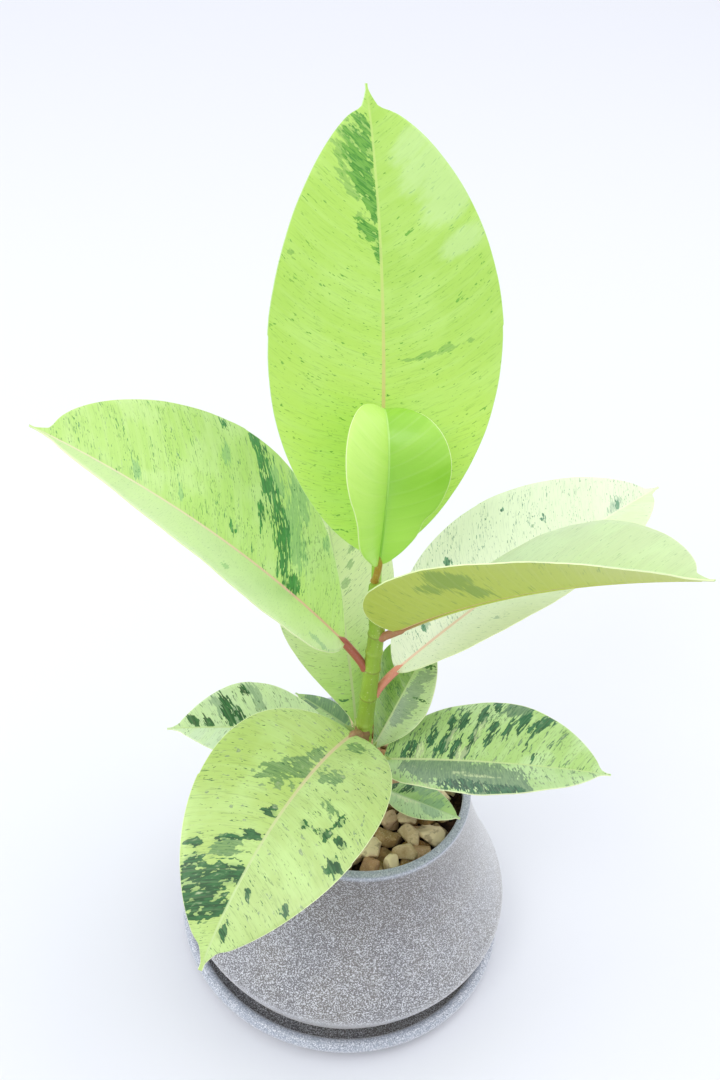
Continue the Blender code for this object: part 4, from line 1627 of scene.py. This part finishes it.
LEAVES = (
    FicusLeaf(
        "leaf_top", "leaf_lime",
        LeafPaint(
            halves=("#aed95e", "#b3de5f"), under="#a9cf62", rib=LIME_RIB,
            # foot is lightened as painted light, where the young leaf and the fold shade the lower
            # blade.
            stalk="#a8cf55", flecks=(0.36, 0.40), fleck="#3f8d22", milk=0.2, foot="#cef170",
            # margin also colours the pale patches, which here are a painted sheen.
            leaf_green="#70b03c", shade="#8abb55", glow="#c8ee88", margin="#cbe9a6",
            dark=((4, 162, 5, 3), (6, 156, 7, 4), (7, 148, 7, 5), (6, 141, 6, 5), (3, 135, 4, 4),
                  (2, 130, 2, 3), (5, 124, 5, 3), (1, 116, 2, 4)),
            dull=((12, 158, 5, 4), (14, 151, 5, 5), (14, 144, 4, 4), (11, 139, 4, 3), (10, 164, 5, 2),
                  (38, 118, 2, 1), (-15, 78, 8, 1), (-25, 81, 8, 1), (8, 130, 3, 2)),
            # pale: a painted sheen on the upper right half.
            pale=((-14, 154, 8, 6), (-20, 147, 12, 8), (-25, 140, 10, 6), (-27, 134, 11, 8),
                  (-31, 119, 9, 5)),
            lean=(-0.1, 0.7), stretch=0.26, torn=0.16, solid=0.29, filled=0.75, sheen_haze=0.8,
        ),
        node=220.0, azimuth=100, reach=9.7, foot=231.5, length=176, half_width=46.5,
        rise=(70.5, 56), sweep=17, roll=(6.5, 3.5), fold=(2, 18), curl=3, widest=0.50, drip=8.5,
        fullness=(0.58, 0.58), stalk=1.7),
    FicusLeaf(
        "leaf_young", "leaf_lime",
        LeafPaint(
            # The darker right half is painted shade, where it turns from the light; foot is lightened
            # as painted light where the fold shades the blade's lower part.
            halves=("#93cb40", "#c4ec75"), under="#9fdc58", foot="#caf27a",
            rib=("#a4d65c", "#b9e47a"), stalk="#b98a3c", flecks=(0.0, 0.0),
            milk=0.1, shade="#86c444", glow="#b4e464"),
        node=224.0, azimuth=114, reach=0.5, foot=234.5, length=73, half_width=23,
        rise=(90, -40), sweep=-12, roll=(15, 8), fold=(41, 30), curl=15, widest=0.64, drip=3,
        fullness=(0.38, 0.77), stalk=1.2, arch=4.0, wave=0.2,
        dents=((-1, 0.31, 0.06, 0.10), (1, 0.45, 0.12, 0.07), (1, 0.20, 0.12, -0.18))),
    FicusLeaf(
        "leaf_left", "leaf_speckled",
        LeafPaint(
            halves=("#bae178", "#d0e8ac"), under="#b3cf84", rib=PINK_RIB,
            stalk=BRICK, flecks=(0.95, 0.15), mottle=0.2, fleck="#21722e",
            leaf_green="#37923c", shade="#92c57a", glow="#d4f0a8", foot="#c6ea84",
            dark=((-46, 74, 4, 4), (-44, 69, 4, 4), (-38, 67, 4, 3), (-33, 64, 5, 4), (-30, 59, 6, 4),
                  (-25, 55, 7, 6), (-21, 50, 6, 5), (-20, 61, 6, 2), (-14, 47, 6, 5), (-7, 43, 5, 4),
                  (-4, 37, 5, 5), (-8, 73, 2, 1), (-6, 70, 2, 1), (-6, 60, 2, 1), (-44, 89, 2, 2)),
            dull=((-25, 46, 8, 6), (-18, 40, 8, 5), (-38, 48, 8, 6), (-37, 60, 5, 4), (-5, 117, 3, 2),
                  (29, 30, 3, 6), (32, 84, 3, 2), (-29, 28, 3, 2), (-33, 84, 4, 2), (-7, 97, 3, 1)),
            lean=(0.35, 0.45), stretch=0.14, torn=0.42, solid=0.24,
        ),
        node=178.0, azimuth=189.5, reach=13, foot=193, length=159, half_width=48.5,
        rise=(51, 36), sweep=10, roll=(-8, -4), fold=(22.5, 23), curl=1, widest=0.47, drip=7.5,
        fullness=(0.85, 0.58), stalk=1.5),
    FicusLeaf(
        "leaf_right_front", "leaf_speckled",
        LeafPaint(
            halves=("#c3e39a", "#c5d9a3"), under="#bccb54", rib=PINK_RIB,
            stalk="#b0785c", flecks=(0.3, 0.35), mottle=0.2, shade="#7b9c40",
            glow="#cfe9ae",
            dark=((-28, 66, 7, 7), (-10, 63, 5, 4), (-24, 52, 5, 4)),
            dull=((-20, 64, 9, 7), (-30, 110, 4, 3), (-36, 68, 5, 4)),
        ),
        node=198.0, azimuth=-35, reach=9.6, foot=206, length=153, half_width=43.5,
        rise=(51.5, 33), sweep=-3, roll=(-16.5, -11), fold=(25, 32), curl=6, widest=0.42, drip=8,
        fullness=(0.78, 0.62), stalk=1.5),
    FicusLeaf(
        "leaf_right_back", "leaf_cream",
        LeafPaint(
            # The right half and the foot are lightened as painted light, where the blade faces down and
            # leaf_right_front shades it.
            halves=("#d8eab8", "#e1efcb"), under="#cbdcaa", foot="#f4f9e4",
            rib=("#f2cdb4", "#e6ecca"), stalk=CORAL, flecks=(0.25, 0.85), mottle=0.2,
            fleck="#2f6a4c", leaf_green="#6b9c7c", shade="#a9c2a6", glow="#e8f4d4",
            dark=((23, 45, 2, 2), (7, 20, 2, 1), (15, 89, 2, 1), (28, 77, 1, 1), (29, 69, 1, 1),
                  (19, 85, 2, 1), (3, 119, 2, 1)),
            dull=((-22, 47, 3, 1), (3, 119, 3, 2), (2, 115, 2, 2), (7, 22, 2, 2)),
        ),
        node=161.0, azimuth=28, reach=11.7, foot=173, length=140, half_width=36.5,
        rise=(43, 11), sweep=11.5, roll=(-7.5, 0), fold=(29, 20), curl=-1, widest=0.46, drip=6,
        fullness=(0.68, 0.62), stalk=1.5),
    FicusLeaf(
        "leaf_back", "leaf_cream",
        LeafPaint(
            # Both halves are lightened as painted light, where the leaves above shade this blade.
            halves=("#dcefae", "#e2f4bb"), under="#c0d894", rib=PALE_RIB,
            stalk="#b9c873", flecks=(0.4, 0.4), mottle=0.4, foot="#b6e070", fleck="#2c6a3c",
            leaf_green="#4c8850", shade="#9cc07c",
            dark=((8, 9, 6, 1), (4, 14, 4, 1), (-12, 82, 2, 2)),
            dull=((-11, 80, 3, 2), (-4, 65, 2, 2), (-8, 73, 2, 2)),
        ),
        node=129.0, azimuth=117, reach=7.3, foot=133.5, length=116, half_width=34.5,
        rise=(62, 52), sweep=4, roll=(21, 20), fold=(-5, 11), curl=10, widest=0.59, drip=6,
        fullness=(0.89, 0.76), stalk=1.5),
    FicusLeaf(
        "leaf_low_left", "leaf_streaked",
        LeafPaint(
            halves=("#cae2b0", "#cfe7bc"), under="#a9c484", rib=PALE_RIB,
            stalk=SAGE, flecks=(0.9, 0.5), mottle=0.8, fleck=DEEP_GREEN,
            leaf_green=MOSS_GREEN, shade="#8fac88",
            dark=((-6, 47, 5, 3), (-12, 48, 4, 2), (-6, 42, 3, 2), (-3, 62, 3, 2), (-3, 56, 3, 2),
                  (-16, 40, 3, 2), (-17, 50, 2, 1)),
            dull=((-18, 38, 4, 2), (-13, 34, 4, 2), (-5, 43, 4, 3), (-9, 50, 4, 3), (8, 40, 3, 5)),
        ),
        node=131.5, azimuth=191, reach=12.2, foot=137.5, length=73, half_width=21,
        rise=(10, 1), sweep=4, roll=(-4.5, -5), fold=(19, 17.5), curl=1, widest=0.52, drip=5,
        fullness=(0.78, 0.78), stalk=1.2, wave=0.3),
    FicusLeaf(
        "leaf_small_left", "leaf_streaked",
        LeafPaint(
            halves=("#8bb070", "#94ba78"), under="#8aa86a",
            rib=("#a2bd84", "#a2bd84"), stalk=OLIVE, flecks=(0.3, 0.3), mottle=1.4,
            fleck=DEEP_GREEN, leaf_green=MOSS_GREEN, shade="#5f8468",
            dull=((-2, 14, 6, 5), (-2, 8, 5, 4), (0, 21, 4, 3))),
        node=134.0, azimuth=154, reach=6.3, foot=135.5, length=30, half_width=7.5,
        rise=(14, 5), sweep=1.5, roll=(1, 2), fold=(12, 6), curl=12, widest=0.45, drip=2,
        fullness=(0.77, 0.83), stalk=1.0, wave=0.1),
    FicusLeaf(
        "leaf_back_right", "leaf_streaked",
        LeafPaint(
            # The darker left half is painted shade, where this half lies in shadow.
            halves=("#c2dc9c", "#86ae4c"), under="#a4bf7c", rib=PALE_RIB,
            stalk=SAGE, flecks=(0.6, 1.7), mottle=0.7, fleck="#245c26",
            leaf_green="#47803a", shade="#8ca487", glow="#cae0ae",
            dark=((-14, 36, 4, 1), (-9, 50, 3, 1), (-9, 8, 2, 1)),
            dull=((-7, 36, 5, 5), (-6, 27, 6, 5), (-5, 20, 4, 3), (-8, 44, 4, 4), (-11, 33, 3, 3)),
        ),
        node=122.5, azimuth=45.5, reach=7.4, foot=122, length=61.5, half_width=20.5,
        rise=(62.5, 59), sweep=5, roll=(-17, -13.5), fold=(8, 24), curl=15, widest=0.60, drip=2.5,
        fullness=(0.69, 0.66), stalk=1.2, wave=0.2),
    FicusLeaf(
        "leaf_low_right", "leaf_streaked",
        LeafPaint(
            halves=("#b4d690", "#b2d485"), under="#a2be78", rib=PALE_RIB,
            stalk=SAGE, flecks=(0.4, 1.3), mottle=1.3, fleck="#1a4a34",
            leaf_green="#3b7350", shade="#5f7e68", glow="#cde8b4", milk=0.6,
            dark=((3, 12, 5, 3), (10, 21, 5, 2), (5, 25, 4, 1), (14, 29, 7, 2), (7, 28, 5, 2),
                  (6, 33, 6, 2), (18, 35, 6, 2), (10, 40, 6, 2), (5, 38, 4, 2), (14, 48, 6, 2),
                  (22, 43, 5, 2), (27, 48, 3, 2), (16, 55, 6, 2), (19, 61, 6, 2), (18, 67, 5, 2),
                  (22, 72, 5, 2), (8, 64, 4, 1), (5, 68, 3, 1), (-23, 45, 5, 10), (-24, 62, 4, 9)),
            dull=((-6, 18, 7, 6), (-10, 28, 10, 9), (-12, 39, 12, 10), (-14, 50, 12, 10),
                  (-15, 61, 8, 7), (-23, 70, 5, 4), (27, 58, 4, 5)),
            pale=((-14, 47, 1, 9), (-12, 40, 1, 4), (11, 30, 5, 1), (4, 36, 4, 2), (-26, 22, 3, 8),
                  (4, 17, 4, 2), (14, 42, 6, 1)),
            lean=(0.1, 0.5),
        ),
        node=125.0, azimuth=-12, reach=10.6, foot=124.5, length=101, half_width=29,
        rise=(25, 15), sweep=-2, roll=(0, -3), fold=(22, 18), curl=1.5, widest=0.50, drip=4.5,
        fullness=(0.42, 0.67), stalk=1.3, wave=0.3),
    FicusLeaf(
        "leaf_front", "leaf_speckled",
        LeafPaint(
            halves=("#b7d376", "#b5cf80"), under="#a8c878",
            rib=("#dcc7a2", "#c4dc98"), stalk="#a8805f", flecks=(0.55, 0.6),
            mottle=0.3, fleck=DEEP_GREEN, leaf_green=MOSS_GREEN, shade="#628c58",
            glow="#cbeb9c",
            dark=((-4, 59, 3, 2), (-23, 83, 3, 2), (-15, 78, 3, 1), (-10, 74, 3, 1), (-5, 70, 4, 2),
                  (-5, 87, 7, 5), (-11, 91, 6, 5), (-11, 99, 7, 6), (-4, 100, 5, 4), (-8, 105, 5, 2),
                  (-20, 90, 3, 5), (-17, 96, 4, 4), (5, 90, 2, 2), (21, 89, 2, 2), (3, 107, 2, 3),
                  (11, 57, 2, 2), (20, 57, 3, 2), (23, 50, 2, 3), (28, 57, 3, 2), (30, 66, 3, 3)),
            dull=((-13, 45, 5, 4), (-9, 42, 6, 5), (-5, 36, 5, 7), (-3, 25, 3, 4), (8, 33, 4, 4),
                  (-12, 79, 5, 4), (7, 11, 4, 3), (15, 46, 4, 2)),
            lean=(-0.05, 0.6), stretch=0.30, torn=0.14, solid=0.29, filled=0.45,
        ),
        node=139.5, azimuth=244, reach=9.9, foot=145.7, length=124, half_width=37,
        rise=(23.5, -54.5), sweep=3.5, roll=(-3.5, -10), fold=(16, 11), curl=6, widest=0.42, drip=9,
        fullness=(0.65, 0.68), stalk=1.5, tip_half_width=0.9, stalk_swell=1.05),
    FicusLeaf(
        "leaf_small_right", "leaf_streaked",
        LeafPaint(
            halves=("#bcdea0", "#a4cc82"), under="#93b06c",
            rib=("#b8d49c", "#b8d49c"), stalk=OLIVE, flecks=(0.7, 0.7), mottle=0.9,
            fleck=DEEP_GREEN, leaf_green=MOSS_GREEN, shade="#92b98c",
            dark=((3, 4, 4, 2), (5, 11, 4, 2)), dull=((7, 16, 3, 6), (0, 23, 5, 4)),
            pale=((-1, 12, 2, 6),)),
        node=109.5, azimuth=-20.5, reach=12.7, foot=107.5, length=37.5, half_width=10.5,
        rise=(5.5, -1), sweep=3, roll=(-2, -4), fold=(7, 17), curl=9, widest=0.48, drip=1.8,
        fullness=(0.72, 0.68), stalk=1.0, wave=0.1),
)


@dataclass(frozen=True)
class Plant:
    """The whole plant in its pot."""

    saucer: Saucer = Saucer()
    pot: Pot = Pot()
    pebbles: Pebbles = Pebbles()
    stem: Stem = Stem()
    leaves: tuple[FicusLeaf, ...] = LEAVES

    def build(self) -> None:
        """Makes every piece, from the saucer up."""
        stoneware = StonewareFinish().material()
        self.saucer.build(stoneware)
        self.pot.build(stoneware)
        Soil(self.pot, self.stem).build(SoilFinish().material())
        self.pebbles.build(PebbleFinish().material())
        self.stem.build([leaf.node for leaf in self.leaves], StemFinish().material())
        for leaf in self.leaves:
            leaf.build(self.stem)


@dataclass(frozen=True)
class SoftBox:
    """A square studio lamp that points at the plant."""

    name: str
    place: tuple[float, float, float]
    size: float
    power: float
    target: tuple[float, float, float] = (0.0, 0.0, 0.18)

    def build(self) -> None:
        """Hangs the lamp."""
        lamp = start_piece(self.name, bpy.ops.object.light_add, type="AREA", location=self.place)
        lamp.data.size = self.size
        lamp.data.energy = self.power
        aim = Vector(self.target) - Vector(self.place)
        lamp.rotation_euler = aim.to_track_quat("-Z", "Y").to_euler()


@dataclass(frozen=True)
class Studio:
    """A pale floor, soft light and the camera at the photograph's viewing angle. Metres here."""

    floor_size: float = 9.0
    floor_colour: Colour = "#e5e7ed"
    sky_colour: Colour = "#f5f6fa"
    sky_towards: tuple[float, float, float] = (0.0, 0.35, 0.94)
    sky_dim_from: float = -0.3
    sky_strengths: Point = (0.76, 1.30)
    camera_place: tuple[float, float, float] = (0.0, -0.35569, 0.53975)
    camera_down: float = 39.56
    camera_left: float = 1.756
    camera_roll: float = 6.405
    focal_pixels: float = 1211.3
    picture_height: float = 1080.0
    sensor: float = 36.0
    lamps: tuple[SoftBox, ...] = (
        SoftBox("key_light", (0.9, 0.4, 1.5), 1.3, 4.5),
        SoftBox("sheen_light", (-0.5, -0.85, 1.3), 0.6, 4.0),
        SoftBox("fill_light", (-1.4, -0.3, 0.6), 1.0, 4.2),
    )

    def build_floor(self) -> None:
        """Lays the floor that the plant stands on."""
        floor = start_piece("studio_floor", bpy.ops.mesh.primitive_plane_add, size=self.floor_size)
        sheet = ShaderSheet("pale_floor", Gloss(roughness=0.7, specular=0.2))
        sheet.paint({"Base Color": self.floor_colour})
        floor.data.materials.append(sheet.material)

    def build_sky(self) -> None:
        """Sets the light from all round, brightest overhead and a little to the back."""
        world = bpy.data.worlds.new("studio_sky")
        world.use_nodes = True
        sheet = NodeSheet(world.node_tree)
        place = sheet.add("ShaderNodeTexCoord", {}, {}, "Generated")
        towards = {0: place, 1: self.sky_towards}
        facing = sheet.add("ShaderNodeVectorMath", {"operation": "DOT_PRODUCT"}, towards, "Value")
        dim, bright = self.sky_strengths
        span = {0: facing, 1: self.sky_dim_from, 2: 1.0, 3: dim, 4: bright}
        strength = sheet.add("ShaderNodeMapRange", {}, span)
        background = next(node for node in sheet.tree.nodes if node.type == "BACKGROUND")
        sheet.join(background.inputs["Color"], self.sky_colour)
        sheet.join(background.inputs["Strength"], strength)
        bpy.context.scene.world = world
        bpy.context.scene.view_settings.view_transform = "Standard"

    def build_camera(self) -> None:
        """Places the camera where the photograph was taken from."""
        camera = start_piece("photo_camera", bpy.ops.object.camera_add)
        camera.data.sensor_width = self.sensor
        camera.data.lens = self.focal_pixels / self.picture_height * self.sensor
        camera.data.clip_start = 0.01
        turn = Matrix.Rotation(math.radians(self.camera_left), 4, "Z")
        tilt = Matrix.Rotation(math.radians(90.0 - self.camera_down), 4, "X")
        roll = Matrix.Rotation(math.radians(self.camera_roll), 4, "Z")
        camera.matrix_world = Matrix.Translation(self.camera_place) @ turn @ tilt @ roll
        bpy.context.scene.camera = camera

    def build(self) -> None:
        """Sets up the floor, the light and the camera."""
        self.build_floor()
        self.build_sky()
        for lamp in self.lamps:
            lamp.build()
        self.build_camera()


def main() -> None:
    """Builds the studio and the plant."""
    logging.basicConfig(level=logging.INFO, format="%(name)s %(message)s")
    Studio().build()
    Plant().build()


if __name__ == "__main__":
    main()
